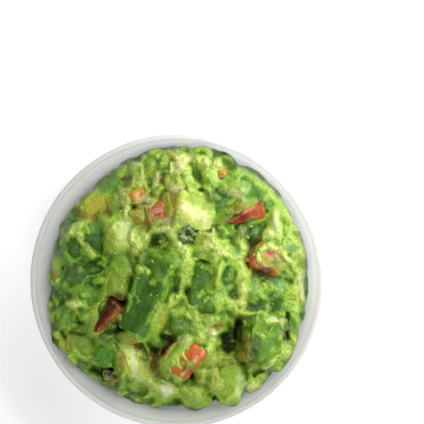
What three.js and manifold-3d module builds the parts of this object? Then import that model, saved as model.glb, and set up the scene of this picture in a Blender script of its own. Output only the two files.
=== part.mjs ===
// Chunky guacamole heaped in a small round bowl of white glazed ceramic.
// Millimetres, +Z up. The origin is on the floor, under the centre of the bowl's foot.
// The bowl is one turned body. The mash is one solid that fills it and rises to a lumpy heap.
// Knife-cut avocado, diced tomato and a leaf of cilantro are solids of their own, in pockets in the mash.
import * as THREE from "three";
import { mergeVertices } from "three/addons/utils/BufferGeometryUtils.js";
import Module from "manifold-3d";

const wasm = await Module();
wasm.setup();

// ---------- driving dimensions ----------
const RIM_RADIUS = 65;
const BOWL_HEIGHT = 56;
const RIM_THICKNESS = 2.4;
const WALL_THICKNESS = 3.4;
const BASE_THICKNESS = 4.2;
const FOOT_RADIUS = 33;
const FOOT_WIDTH = 3.6;
const FOOT_HEIGHT = 4;
const FOOT_RECESS = 1.8;
const FOOT_SLOPE = 1; // the inner side of the foot ring leans in by this
const FOOT_BEVEL = [0.5, 0.6]; // width and height of the bevel round the foot
const FOOT_STEP = 0.4; // the wall springs from the foot this far outside it
const FLOOR_RADIUS = FOOT_RADIUS - 8; // the flat floor of the inside
const FLOOR_HEIGHT = FOOT_HEIGHT + BASE_THICKNESS - 1;
const FLOOR_DISH = 0.2; // the middle of the floor lies this much lower
const BOWL_SIDES = 56;
const OUTSIDE_STEPS = 8;
const INSIDE_STEPS = 5;
const WALL_SAMPLES = 200; // points read along the inside curve to find the wall's height
// Handles of the wall's curves, as [radius, height]: the low one is measured outwards and upwards
// from the foot, and the high one inwards and downwards from the rim.
const OUTSIDE_LOW = [19, 3];
const OUTSIDE_HIGH = [6, 20];
const INSIDE_LOW = [15, 0];
const INSIDE_HIGH = [6 + WALL_THICKNESS, 19];

const GAP = 0.35; // clearance between pieces that touch
const ROOM_ABOVE = 20; // the room for the food is kept open this far over the heap
const HEAP_TOP = 66; // height of the middle of the smooth heap
const HEAP_POWER = 2.4; // 2 is a parabola, more is a flatter top with steeper flanks
const HEAP_RINGS = 24; // rings of corners in the heap's surface
const HEAP_REACH = 0.97; // radius of that surface, as a share of the rim's inner radius
// Radius where the heap meets the wall, every 30 degrees from +X towards +Y.
const HEAP_EDGE = [58, 59.7, 59.5, 60.4, 57.3, 57.3, 57.5, 60.5, 57.5, 57.5, 59.1, 60.2];
const CORE_DROP = 2.4; // the ground between the curds lies this far under the smooth heap
const SIMPLIFY_BY = 0.16; // no face of the mash moves further than this when small facets are merged
const PIECE_SIMPLIFY_BY = 0.02; // the same for a cut piece
const PIECE_SQUARES = 3; // squares along each edge of a cut piece
const PIECE_SWELL = 0.9; // the faces of a cut piece swell by up to this
const WEDGE_MIDDLE = 0.68; // width and height of a wedge at its middle, as a share of its size

const CURD_COUNT = 230;
const CURD_REACH = 56; // radius of the disc that the curds cover
const CURD_LENGTH = [6.5, 12];
const CURD_SLIMNESS = [0.6, 0.95];
const CURD_HEIGHT = [3.4, 5.8];
const CURD_RISE = [-0.8, 2.2]; // how far the top of a curd stands over the smooth heap
const CURD_POWER = 2.4; // 2 is an ellipsoid, more is boxier

const GOLDEN_ANGLE = Math.PI * (3 - Math.sqrt(5));
const DEGREE = Math.PI / 180;

// ---------- small helpers ----------
// A repeatable draw from 0 to 1 for a whole number n.
const draw = (n) => {
  const s = Math.sin(n * 12.9898 + 4.1414) * 43758.5453;
  return s - Math.floor(s);
};
const between = ([low, high], share) => low + (high - low) * share;
const clamp = (value, limit) => Math.max(-limit, Math.min(limit, value));

// Merges the corners that faces share and makes the closed mesh a solid.
function solidOf(geometry) {
  const bare = geometry.clone();
  bare.deleteAttribute("normal");
  bare.deleteAttribute("uv");
  const merged = mergeVertices(bare, 1e-4);
  const mesh = new wasm.Mesh({
    numProp: 3,
    vertProperties: new Float32Array(merged.getAttribute("position").array),
    triVerts: new Uint32Array(merged.index.array),
  });
  return new wasm.Manifold(mesh);
}

function geometryOf(solid) {
  const mesh = solid.getMesh();
  const geometry = new THREE.BufferGeometry();
  geometry.setAttribute("position", new THREE.BufferAttribute(mesh.vertProperties, 3));
  geometry.setIndex(new THREE.BufferAttribute(mesh.triVerts, 1));
  geometry.computeVertexNormals();
  return geometry;
}

// A mesh's solid, in the part's own frame.
function placedSolid(mesh) {
  mesh.updateMatrixWorld(true);
  return solidOf(mesh.geometry.clone().applyMatrix4(mesh.matrixWorld));
}

// Merges facets that are nearly in line, keeps the one large body and drops loose scraps.
function tidied(solid, tolerance) {
  const bodies = solid.asOriginal().simplify(tolerance).decompose();
  return bodies.sort((a, b) => b.volume() - a.volume())[0];
}

// ---------- finishes ----------
const GLAZE = new THREE.MeshStandardMaterial({ color: 0xf1f2ee, roughness: 0.18, metalness: 0 });
const MASH = new THREE.MeshStandardMaterial({ color: 0x9dbf45, roughness: 0.42, metalness: 0 });
const AVOCADO_GREEN = new THREE.MeshStandardMaterial({ color: 0x5d9a3c, roughness: 0.38, metalness: 0 });
const AVOCADO_YELLOW = new THREE.MeshStandardMaterial({ color: 0xd7dc7c, roughness: 0.38, metalness: 0 });
const TOMATO = new THREE.MeshStandardMaterial({ color: 0xc04a26, roughness: 0.3, metalness: 0 });
const LEAF = new THREE.MeshStandardMaterial({ color: 0x35612a, roughness: 0.5, metalness: 0 });

// ---------- the bowl ----------
// The outside is one cubic curve from the foot to the rim.
const outsideCurve = new THREE.CubicBezierCurve(
  new THREE.Vector2(FOOT_RADIUS + FOOT_STEP, FOOT_HEIGHT),
  new THREE.Vector2(FOOT_RADIUS + OUTSIDE_LOW[0], FOOT_HEIGHT + OUTSIDE_LOW[1]),
  new THREE.Vector2(RIM_RADIUS - OUTSIDE_HIGH[0], BOWL_HEIGHT - OUTSIDE_HIGH[1]),
  new THREE.Vector2(RIM_RADIUS, BOWL_HEIGHT - RIM_THICKNESS / 2),
);

// The inside runs the wall's thickness further in, and ends on the floor over the base.
const insideCurve = new THREE.CubicBezierCurve(
  new THREE.Vector2(FLOOR_RADIUS, FLOOR_HEIGHT),
  new THREE.Vector2(FOOT_RADIUS + INSIDE_LOW[0], FOOT_HEIGHT + BASE_THICKNESS + INSIDE_LOW[1]),
  new THREE.Vector2(RIM_RADIUS - INSIDE_HIGH[0], BOWL_HEIGHT - INSIDE_HIGH[1]),
  new THREE.Vector2(RIM_RADIUS - RIM_THICKNESS, BOWL_HEIGHT - RIM_THICKNESS / 2),
);

// Turns a profile of (radius, height) points about the part's Z axis.
const turned = (profile, sides) => new THREE.LatheGeometry(profile, sides).rotateX(Math.PI / 2);

function bowlProfile() {
  const profile = [
    new THREE.Vector2(0, FOOT_RECESS),
    new THREE.Vector2(FOOT_RADIUS - FOOT_WIDTH - FOOT_SLOPE, FOOT_RECESS),
    new THREE.Vector2(FOOT_RADIUS - FOOT_WIDTH, 0),
    new THREE.Vector2(FOOT_RADIUS - FOOT_BEVEL[0], 0),
    new THREE.Vector2(FOOT_RADIUS, FOOT_BEVEL[1]),
    ...outsideCurve.getSpacedPoints(OUTSIDE_STEPS),
  ];
  // The rim is a half round from the outside to the inside.
  const rimCentre = new THREE.Vector2(RIM_RADIUS - RIM_THICKNESS / 2, BOWL_HEIGHT - RIM_THICKNESS / 2);
  for (const angle of [45, 90, 135]) {
    const reach = new THREE.Vector2(RIM_THICKNESS / 2, 0).rotateAround(new THREE.Vector2(), angle * DEGREE);
    profile.push(rimCentre.clone().add(reach));
  }
  profile.push(...insideCurve.getSpacedPoints(INSIDE_STEPS).reverse());
  profile.push(new THREE.Vector2(0, FLOOR_HEIGHT - FLOOR_DISH));
  return profile;
}

// Height of the bowl's inside at a radius, read from its curve.
const insidePoints = insideCurve.getPoints(WALL_SAMPLES);
function wallHeight(radius) {
  const next = insidePoints.findIndex((p) => p.x >= radius);
  const [a, b] = [insidePoints[next - 1], insidePoints[next]];
  return a.y + ((b.y - a.y) * (radius - a.x)) / (b.x - a.x);
}

// ---------- the heap ----------
// Radius of the heap's edge in a direction: the listed radii, joined by smooth steps.
function heapEdge(angle) {
  const turn = ((angle / (2 * Math.PI)) * HEAP_EDGE.length + HEAP_EDGE.length) % HEAP_EDGE.length;
  const from = Math.floor(turn);
  const share = turn - from;
  const smooth = share * share * (3 - 2 * share);
  return between([HEAP_EDGE[from], HEAP_EDGE[(from + 1) % HEAP_EDGE.length]], smooth);
}

// Height of the smooth heap: a dome that falls to the wall by a power of the radius.
function heapHeight(x, y) {
  const edge = heapEdge(Math.atan2(y, x));
  const share = Math.min(1, Math.hypot(x, y) / edge);
  const foot = wallHeight(edge);
  return foot + (HEAP_TOP - foot) * (1 - share ** HEAP_POWER);
}

// ---------- cut pieces ----------
// at is the place, size is length, width and height, and rise is how far the middle of the piece's top
// stands over the smooth heap. heading turns the length, tilt lifts the side to the left of the heading,
// pitch lifts the far end. bow lifts both ends, wedge narrows the near end.
const AVOCADO = [
  { name: "avocado_cream_wedge", at: [4.5, 31.5], size: [20, 18, 17],
    heading: -10, pitch: -32, rise: 5.4, round: 2, seed: 3, yellow: true },
  { name: "avocado_yellow_cube", at: [-35.5, 32.5], size: [14, 13, 12],
    heading: 8, pitch: 4, rise: 3, round: 2.6, seed: 5, yellow: true },
  { name: "avocado_shaded_block", at: [-39, 17.5], size: [18, 16, 13],
    heading: -8, pitch: 8, tilt: -8, rise: 3.6, round: 2, seed: 8 },
  { name: "avocado_curled_slice", at: [-39, 2], size: [23, 13, 7],
    heading: -10, bow: 3.4, rise: 2.6, round: 2.4, seed: 11 },
  { name: "avocado_long_slice", at: [-11, -7], size: [38, 16, 16],
    heading: 68, tilt: -22, rise: 4.6, round: 3, seed: 14 },
  { name: "avocado_upright_cube", at: [13, -2], size: [20, 13, 13],
    heading: 78, tilt: -10, rise: 4.4, round: 1.8, seed: 17 },
  { name: "avocado_ridge_cube", at: [22, 37], size: [16, 13, 12],
    heading: -8, tilt: 14, rise: 4.4, round: 2, seed: 20 },
  { name: "avocado_rim_slab", at: [34.5, 38], size: [20, 8.5, 10],
    heading: -40, tilt: 6, rise: 4.6, round: 2, seed: 23 },
  { name: "avocado_side_slab", at: [44, 22], size: [18, 9, 9],
    heading: -68, rise: 3.4, round: 2.4, seed: 26 },
  { name: "avocado_corner_chunk", at: [37, -25], size: [24, 17, 16],
    heading: 76, tilt: 24, rise: 5, round: 2, seed: 29 },
  { name: "avocado_green_face", at: [44.5, -11], size: [13, 9, 10],
    heading: 80, tilt: -8, rise: 3.6, round: 2, seed: 32 },
  { name: "avocado_smooth_finger", at: [23.5, -44], size: [20, 12, 12],
    heading: 82, rise: 3.4, round: 5, seed: 35 },
  { name: "avocado_pale_knob", at: [-5, -47], size: [12.5, 11, 10],
    heading: 12, rise: 3, round: 3.8, seed: 38, yellow: true },
  { name: "avocado_lit_block", at: [-20.5, -35.5], size: [18, 13, 13],
    heading: 98, tilt: 18, rise: 4, round: 2.2, seed: 41, yellow: true },
  { name: "avocado_split_cube", at: [-32, -31.5], size: [12, 10, 10],
    heading: 60, tilt: 12, rise: 2.6, round: 2, seed: 44 },
  { name: "avocado_edge_cube", at: [-43, -27.5], size: [13, 12, 11],
    heading: -6, rise: 2.4, round: 2.8, seed: 47 },
  { name: "avocado_side_wedge", at: [-37, -9.5], size: [16, 11, 9],
    heading: -16, pitch: 5, rise: 3, round: 2, seed: 50 },
  { name: "avocado_small_facet", at: [-25.5, -0.5], size: [13, 9, 10],
    heading: 80, tilt: -8, rise: 3.6, round: 1.6, seed: 53, yellow: true },
  { name: "avocado_left_dice", at: [-47, -17], size: [9, 9, 8],
    heading: 30, rise: 2.4, round: 2, seed: 56 },
  { name: "avocado_round_knob", at: [-24.5, 20], size: [14, 12, 12],
    heading: 96, rise: 4.4, round: 5, seed: 59, yellow: true },
];

const TOMATOES = [
  { name: "tomato_large_dice", at: [4, -33], size: [16, 13, 11],
    heading: 47, tilt: -22, rise: 6, round: 1.2, seed: 62 },
  { name: "tomato_wedge", at: [30.5, 29.8], size: [16, 8, 8],
    heading: 20, tilt: 20, pitch: -12, rise: 5.8, round: 1.4, wedge: 0.65, seed: 65 },
  { name: "tomato_coated_dice", at: [40, 9.5], size: [14, 12, 10],
    heading: -28, tilt: -8, rise: 4.4, round: 2, seed: 68 },
  { name: "tomato_shaded_wedge", at: [-29.5, -16], size: [16, 8, 9],
    heading: 56, tilt: -26, rise: 4.4, round: 1.4, wedge: 0.7, seed: 71 },
  { name: "tomato_small_dice", at: [-8.5, 30], size: [8, 8, 8],
    heading: 20, tilt: 10, rise: 5.2, round: 1.2, seed: 74 },
  { name: "tomato_dull_dice", at: [-16.5, 37.5], size: [9, 9, 8],
    heading: 40, rise: 4.2, round: 2, seed: 77 },
  { name: "tomato_brown_dice", at: [-16.5, 28.5], size: [7, 7.5, 7],
    heading: 10, rise: 3.8, round: 1.8, seed: 80 },
  { name: "tomato_sunk_bit", at: [-22.5, 45.5], size: [4.5, 7, 6],
    heading: -10, rise: 2.6, round: 1.4, seed: 83 },
  { name: "tomato_edge_bit", at: [-29.5, -42.5], size: [8, 7, 7],
    heading: -8, rise: 2.4, round: 1.6, seed: 86 },
  { name: "tomato_far_bit", at: [19.5, 47.8], size: [4, 5.5, 6],
    heading: 10, rise: 2.8, round: 1.2, seed: 89 },
];

// Soft mounds and ridges of mash that rise out of the heap and are part of it.
const MOUNDS = [
  { at: [4.5, 7], size: [22, 8, 10], heading: 84, rise: 4.6 },
  { at: [22, 9], size: [32, 8.5, 10], heading: -52, rise: 4.4 },
  { at: [-16, 18], size: [14, 9, 9], heading: 70, rise: 4.2 },
  { at: [-19, 47], size: [13, 8, 9], heading: 82, rise: 3.6 },
  { at: [-4, 50], size: [12, 8, 8], heading: 10, rise: 3 },
  { at: [12, 51], size: [12, 7, 8], heading: -20, rise: 3 },
  { at: [9, 42], size: [11, 7, 8], heading: -30, rise: 3.4 },
  { at: [50, 5], size: [14, 9, 8], heading: 84, rise: 3 },
  { at: [30, -3], size: [12, 9, 8], heading: -60, rise: 4 },
  { at: [17, -19], size: [13, 10, 8], heading: 20, rise: 4 },
  { at: [9, -50], size: [12, 10, 9], heading: 30, rise: 2.4 },
  { at: [37, -42], size: [11, 8, 8], heading: 20, rise: 2.2 },
  { at: [49, -29], size: [13, 8, 8], heading: 70, rise: 2.4 },
  { at: [-49, 10], size: [12, 6, 7], heading: 70, rise: 2.2 },
  { at: [-15, -24], size: [10, 8, 7], heading: 10, rise: 4 },
];

// A box with rounded edges, on a grid of n by n squares a side, with the shaping that the spec asks for.
function pieceGeometry({ size, round, bow = 0, wedge = 0, seed }, n, grow = 0) {
  const half = size.map((s) => s / 2 + grow);
  const edge = round + grow;
  const geometry = new THREE.BoxGeometry(2, 2, 2, n, n, n);
  const position = geometry.getAttribute("position");
  const phase = [0, 7, 13].map((step) => 2 * Math.PI * draw(seed + step));
  for (let i = 0; i < position.count; i += 1) {
    const unit = [position.getX(i), position.getY(i), position.getZ(i)];
    // The outer rows of squares take the rounding, and the inner ones share the flat part of the face.
    const flat = half.map((h) => h - edge);
    const spread = unit.map((t, k) => (Math.abs(t) > 0.999 ? t * half[k] : (t * flat[k] * n) / (n - 2)));
    const inner = new THREE.Vector3(...spread.map((q, k) => clamp(q, flat[k])));
    const point = new THREE.Vector3(...spread).sub(inner).setLength(edge).add(inner);
    const waves = unit.map((t, k) => Math.sin((2.1 + 0.3 * k) * t + phase[k]));
    point.setLength(point.length() + (PIECE_SWELL * (waves[0] + waves[1] + waves[2])) / 3);
    if (wedge) {
      // The sides and the underside close in towards the near end, and the top stays level.
      const narrow = WEDGE_MIDDLE * (1 + (wedge * point.x) / half[0]);
      const [across, down] = [1, 2].map((k) => ((half[k] - grow) * narrow + grow) / half[k]);
      point.y *= across;
      point.z = half[2] - (half[2] - point.z) * down;
    }
    const lift = bow * ((point.x / half[0]) ** 2 - 1 / 3);
    position.setXYZ(i, point.x, point.y, point.z + lift);
  }
  return geometry;
}

function placedPiece(spec, material, grow = 0) {
  const { at, size, heading = 0, tilt = 0, pitch = 0, rise } = spec;
  const mesh = new THREE.Mesh(pieceGeometry(spec, PIECE_SQUARES, grow), material);
  mesh.rotation.set(tilt * DEGREE, -pitch * DEGREE, heading * DEGREE, "ZYX");
  mesh.position.set(at[0], at[1], heapHeight(...at) + rise - size[2] / 2);
  return mesh;
}

// ---------- the mash ----------
// Curds stand on a spiral of golden angles, so that they cover the heap evenly.
// Each has its own size and turn.
function curds() {
  return Array.from({ length: CURD_COUNT }, (_, i) => {
    const radius = CURD_REACH * Math.sqrt((i + 0.5) / CURD_COUNT);
    const length = between(CURD_LENGTH, draw(i + 1000));
    return {
      at: [radius * Math.cos(i * GOLDEN_ANGLE), radius * Math.sin(i * GOLDEN_ANGLE)],
      size: [length, length * between(CURD_SLIMNESS, draw(i + 2000)), between(CURD_HEIGHT, draw(i + 3000))],
      heading: 360 * draw(i + 4000),
      rise: between(CURD_RISE, draw(i + 5000)),
    };
  });
}

// The upper half of each lump is a boxy ellipsoid. Its middle is sunk in the heap by half its height.
const lumps = [...MOUNDS, ...curds()].map(({ at, size, heading, rise }) => ({
  at,
  half: size.map((s) => s / 2),
  turn: [Math.cos(heading * DEGREE), Math.sin(heading * DEGREE)],
  base: heapHeight(...at) + rise - size[2] / 2,
}));

// Height of the mash's surface: the highest lump over a place, or the ground between them.
function mashHeight(x, y) {
  let height = heapHeight(x, y) - CORE_DROP;
  for (const { at, half, turn, base } of lumps) {
    const [dx, dy] = [x - at[0], y - at[1]];
    const along = Math.abs(dx * turn[0] + dy * turn[1]) / half[0];
    const across = Math.abs(dy * turn[0] - dx * turn[1]) / half[1];
    const left = 1 - along ** CURD_POWER - across ** CURD_POWER;
    if (left > 0) height = Math.max(height, base + half[2] * left ** (1 / CURD_POWER));
  }
  return height;
}

// A straight-sided block whose top is the mash's surface. Ring k of the top has 6 k corners.
function heapBlock() {
  const points = [[0, 0, mashHeight(0, 0)]];
  const faces = [];
  const corner = (ring, step) => (ring === 0 ? 0 : 1 + 3 * ring * (ring - 1) + (step % (6 * ring)));
  for (let ring = 1; ring <= HEAP_RINGS; ring += 1) {
    for (let step = 0; step < 6 * ring; step += 1) {
      const radius = (RIM_RADIUS - RIM_THICKNESS) * HEAP_REACH * (ring / HEAP_RINGS);
      const angle = (step / (6 * ring)) * 2 * Math.PI;
      const [x, y] = [radius * Math.cos(angle), radius * Math.sin(angle)];
      points.push([x, y, mashHeight(x, y)]);
      const [side, place] = [Math.floor(step / ring), step % ring];
      const inside = side * (ring - 1) + place;
      faces.push([corner(ring - 1, inside), corner(ring, step), corner(ring, step + 1)]);
      if (place < ring - 1) {
        faces.push([corner(ring - 1, inside), corner(ring, step + 1), corner(ring - 1, inside + 1)]);
      }
    }
  }
  const rim = 6 * HEAP_RINGS;
  const first = points.length - rim;
  points.push([0, 0, 0]);
  const floor = points.length - 1;
  for (let step = 0; step < rim; step += 1) {
    const [x, y] = points[first + step];
    points.push([x, y, 0]);
    const [a, b] = [first + step, first + ((step + 1) % rim)];
    const [c, d] = [floor + 1 + step, floor + 1 + ((step + 1) % rim)];
    faces.push([a, c, d], [a, d, b], [floor, d, c]);
  }
  return solidOf(meshGeometry(points, faces));
}

function meshGeometry(points, faces) {
  const geometry = new THREE.BufferGeometry();
  geometry.setAttribute("position", new THREE.Float32BufferAttribute(points.flat(), 3));
  geometry.setIndex(faces.flat());
  geometry.computeVertexNormals();
  return geometry;
}

// The room inside the bowl, GAP clear of the wall, and as high as the heap.
function roomInBowl() {
  const step = new THREE.Vector2(-GAP, GAP / 2);
  const wall = insideCurve.getSpacedPoints(INSIDE_STEPS).map((p) => p.add(step));
  const top = HEAP_TOP + ROOM_ABOVE;
  const profile = [
    new THREE.Vector2(0, FLOOR_HEIGHT - FLOOR_DISH + GAP),
    ...wall,
    new THREE.Vector2(wall[INSIDE_STEPS].x, top),
    new THREE.Vector2(0, top),
  ];
  return solidOf(turned(profile, BOWL_SIDES));
}
const room = roomInBowl();

// Fills the bowl, cuts the pockets, and keeps one body.
function mashSolid(pockets) {
  const carved = heapBlock().intersect(room).subtract(wasm.Manifold.union(pockets));
  return tidied(carved, SIMPLIFY_BY);
}

// ---------- the leaf ----------
// A torn cilantro leaf: three rounded lobes with small teeth, wavy, and of even thickness.
const LEAF_LENGTH = 11;
const LEAF_WIDTH = 9;
const LEAF_THICKNESS = 0.5;
const LEAF_AT = [5, 20.6];
const LEAF_HEADING = 24;
const LEAF_RISE = 4;
const LEAF_TILT = [0.1, 0.08]; // radians about X and Y
const LEAF_RINGS = 3;
const LEAF_SPOKES = 24;

const leafReach = (angle) => 0.74 + 0.2 * Math.cos(3 * angle) + 0.06 * Math.cos(12 * angle);
const leafWave = (x, y) => 0.45 * Math.sin(1.5 * x) + 0.4 * Math.cos(1.7 * y + 0.6);

function leafGeometry() {
  const points = [];
  for (const side of [1, -1]) {
    points.push([0, 0, leafWave(0, 0) + (side * LEAF_THICKNESS) / 2]);
    for (let ring = 1; ring <= LEAF_RINGS; ring += 1) {
      for (let spoke = 0; spoke < LEAF_SPOKES; spoke += 1) {
        const angle = (spoke / LEAF_SPOKES) * 2 * Math.PI;
        const reach = (leafReach(angle) * ring) / LEAF_RINGS;
        const x = (LEAF_LENGTH / 2) * reach * Math.cos(angle);
        const y = (LEAF_WIDTH / 2) * reach * Math.sin(angle);
        points.push([x, y, leafWave(x, y) + (side * LEAF_THICKNESS) / 2]);
      }
    }
  }
  // Both sides are split into triangles alike, and the under side is turned over.
  const under = points.length / 2;
  const corner = (ring, spoke) => (ring === 0 ? 0 : 1 + (ring - 1) * LEAF_SPOKES + (spoke % LEAF_SPOKES));
  const faces = [];
  const both = (a, b, c) => faces.push([a, b, c], [a + under, c + under, b + under]);
  for (let spoke = 0; spoke < LEAF_SPOKES; spoke += 1) {
    both(0, corner(1, spoke), corner(1, spoke + 1));
    for (let ring = 1; ring < LEAF_RINGS; ring += 1) {
      both(corner(ring, spoke), corner(ring + 1, spoke), corner(ring + 1, spoke + 1));
      both(corner(ring, spoke), corner(ring + 1, spoke + 1), corner(ring, spoke + 1));
    }
    const [a, b] = [corner(LEAF_RINGS, spoke), corner(LEAF_RINGS, spoke + 1)];
    faces.push([a, a + under, b + under], [a, b + under, b]);
  }
  return meshGeometry(points, faces);
}

function leafMesh() {
  const mesh = new THREE.Mesh(leafGeometry(), LEAF);
  mesh.name = "cilantro_leaf";
  mesh.position.set(LEAF_AT[0], LEAF_AT[1], heapHeight(...LEAF_AT) + LEAF_RISE);
  mesh.rotation.set(...LEAF_TILT, LEAF_HEADING * DEGREE, "ZYX");
  return mesh;
}

// The clear space about the leaf, an oval shaft from just under the leaf that is open upwards.
const SHAFT_HEIGHT = 14;
const SHAFT_SIDES = 14;
const SHAFT_MARGIN = 0.5;
const SHAFT_DEPTH = 1.5;
function leafShaft(leaf) {
  const cylinder = new THREE.CylinderGeometry(1, 1, SHAFT_HEIGHT, SHAFT_SIDES).rotateX(Math.PI / 2);
  cylinder.scale(LEAF_LENGTH / 2 + SHAFT_MARGIN, LEAF_WIDTH / 2 + SHAFT_MARGIN, 1);
  cylinder.translate(0, 0, SHAFT_HEIGHT / 2 - SHAFT_DEPTH);
  const shaft = new THREE.Mesh(cylinder, LEAF);
  shaft.position.copy(leaf.position);
  shaft.rotation.copy(leaf.rotation);
  return shaft;
}

// ---------- the part ----------
const guacamole = new THREE.Group();

const bowl = new THREE.Mesh(turned(bowlProfile(), BOWL_SIDES), GLAZE);
bowl.name = "bowl";
guacamole.add(bowl);

// Each piece keeps clear of the ones before it: where two would cross, the later one is cut back.
const cutPieces = [
  ...TOMATOES.map((spec) => [spec, TOMATO]),
  ...AVOCADO.map((spec) => [spec, spec.yellow ? AVOCADO_YELLOW : AVOCADO_GREEN]),
];
const leaf = leafMesh();
guacamole.add(leaf);
const pockets = [placedSolid(leafShaft(leaf))];
for (const [spec, material] of cutPieces) {
  const whole = placedSolid(placedPiece(spec, material));
  const crossed = pockets.filter((pocket) => whole.intersect(pocket).volume() > 0);
  const solid = crossed.reduce((kept, pocket) => kept.subtract(pocket), whole.intersect(room));
  const piece = new THREE.Mesh(geometryOf(tidied(solid, PIECE_SIMPLIFY_BY)), material);
  piece.name = spec.name;
  guacamole.add(piece);
  pockets.push(placedSolid(placedPiece(spec, material, GAP)));
}

const mash = new THREE.Mesh(geometryOf(mashSolid(pockets)), MASH);
mash.name = "mash";
guacamole.add(mash);

export default guacamole;
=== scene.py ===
# %% [markdown]
# # Guacamole in a white bowl
#
# The real thing is a small glazed bowl, filled with avocado that was half mashed and half left in dice.
# Bits of tomato and one leaf of cilantro show in it. Seen from above, the heap is a landscape: smooth cut
# faces of avocado stand between ridges of curdled mash, and deep dark gaps part them.
#
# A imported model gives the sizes. Each of its solids is replaced here by a finer surface in the same place.

import math

import bpy
import numpy as np
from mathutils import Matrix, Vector


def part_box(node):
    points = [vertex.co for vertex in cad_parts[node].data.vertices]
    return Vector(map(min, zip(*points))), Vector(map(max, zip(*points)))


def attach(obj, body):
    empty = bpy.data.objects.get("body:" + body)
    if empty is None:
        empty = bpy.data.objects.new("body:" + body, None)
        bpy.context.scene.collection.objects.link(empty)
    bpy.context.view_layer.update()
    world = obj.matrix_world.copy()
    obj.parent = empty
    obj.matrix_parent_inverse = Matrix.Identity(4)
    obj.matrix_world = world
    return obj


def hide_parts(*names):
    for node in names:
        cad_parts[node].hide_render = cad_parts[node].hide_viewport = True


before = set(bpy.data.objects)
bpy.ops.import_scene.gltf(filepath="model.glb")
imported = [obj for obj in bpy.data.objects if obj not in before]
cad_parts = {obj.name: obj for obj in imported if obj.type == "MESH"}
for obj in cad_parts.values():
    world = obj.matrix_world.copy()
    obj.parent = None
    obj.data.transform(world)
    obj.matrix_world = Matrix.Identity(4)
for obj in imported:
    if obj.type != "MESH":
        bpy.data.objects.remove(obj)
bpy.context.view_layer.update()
print("solids:", len(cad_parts))

# %% [markdown]
# ## Sizes
#
# Lengths are in millimetres and become metres only when a mesh is made. The bowl's width and height are
# read from its solid, so that the finer surface fits it. The other sizes are the solid's own.

# %% Driving sizes
MM = 0.001
bowl_low, bowl_high = [np.array(corner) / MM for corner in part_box("bowl")]
RIM_RADIUS = (bowl_high[0] - bowl_low[0]) / 2
BOWL_HEIGHT = bowl_high[2]
RIM_THICKNESS = 2.4
WALL_THICKNESS = 3.4
BASE_THICKNESS = 4.2
FOOT_RADIUS = 33.0
FOOT_WIDTH = 3.6
FOOT_HEIGHT = 4.0
FOOT_RECESS = 1.8
print(f"bowl: {2 * RIM_RADIUS:.0f} mm across, {BOWL_HEIGHT:.0f} mm high")

# %% [markdown]
# ## Tools for making meshes
#
# Food could be sculpted by hand or grown with modifiers. Here every piece is a set of points worked out as
# whole arrays, because formulas keep each piece where its solid is. One helper writes points, faces and
# colours into a Blender mesh. One turns a profile about the axis.


# %% Mesh helpers
def make_piece(name, points, faces, material, tint):
    """Makes a smooth mesh object from points in mm and a list of face arrays, each row one face.
    tint is one linear colour for each point, kept as the attribute "tint"."""
    mesh = bpy.data.meshes.new(name)
    sizes = np.concatenate([np.full(len(f), f.shape[1]) for f in faces])
    corners = np.concatenate([f.ravel() for f in faces]).astype(np.int32)
    starts = np.concatenate([[0], np.cumsum(sizes)[:-1]]).astype(np.int32)
    mesh.vertices.add(len(points))
    mesh.vertices.foreach_set("co", (np.asarray(points) * MM).astype(np.float32).ravel())
    mesh.loops.add(len(corners))
    mesh.loops.foreach_set("vertex_index", corners)
    mesh.polygons.add(len(sizes))
    mesh.polygons.foreach_set("loop_start", starts)
    mesh.polygons.foreach_set("loop_total", sizes.astype(np.int32))
    mesh.update(calc_edges=True)
    mesh.validate()
    mesh.shade_smooth()
    layer = mesh.attributes.new("tint", "FLOAT_COLOR", "POINT")
    rgba = np.ones((len(points), 4), np.float32)
    rgba[:, :3] = tint
    layer.data.foreach_set("color", rgba.ravel())
    mesh.materials.append(material)
    piece = bpy.data.objects.new(name, mesh)
    bpy.context.scene.collection.objects.link(piece)
    return piece


def declare(piece, slot, *nodes):
    """Rides a piece on the part's one body and hides the solids that it stands for."""
    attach(piece, "root")
    if nodes:
        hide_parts(*nodes)


def lathe(profile, sides):
    """Turns a profile of (radius, height) rows about Z: x = r cos a, y = r sin a, z = h.
    The first and last rows lie on the axis and become one point each."""
    angle = np.linspace(0, 2 * np.pi, sides, endpoint=False)
    body = profile[1:-1]
    ring = np.stack(
        [
            body[:, :1] * np.cos(angle),
            body[:, :1] * np.sin(angle),
            body[:, 1:] * np.ones_like(angle),
        ],
        axis=-1,
    ).reshape(-1, 3)
    ends = [[0, 0, profile[0, 1]], [0, 0, profile[-1, 1]]]
    points = np.vstack([ring, ends])
    row = np.arange(len(body) - 1)[:, None] * sides
    step = np.arange(sides)
    after = (step + 1) % sides
    quads = np.stack([row + step, row + after, row + sides + after, row + sides + step], axis=-1)
    first, last = len(ring), len(ring) + 1
    low = np.stack([np.full(sides, first), after, step], axis=-1)
    top = (len(body) - 1) * sides
    high = np.stack([np.full(sides, last), top + step, top + after], axis=-1)
    return points, [quads.reshape(-1, 4), low, high]


# %% [markdown]
# ## Random but repeatable
#
# Food is uneven. Blender's noise textures could push a mesh about, but here the same patterns also pick
# colours and open gaps, so numpy works them out. A hash turns whole numbers into draws that look random
# and come out the same each run. Draws on a lattice give smooth noise, and rounded grains like curds.


# %% Noise
def smooth(t):
    """A share from 0 to 1, eased in and out: 3 t^2 - 2 t^3."""
    return t * t * (3 - 2 * t)


def ease(low, high, value):
    """Goes smoothly from 0 at low to 1 at high."""
    return smooth(np.clip((value - low) / (high - low), 0, 1))


def mixed(one, other, share):
    """Goes from one to the other by the share."""
    return one * (1 - share) + other * share


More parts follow.
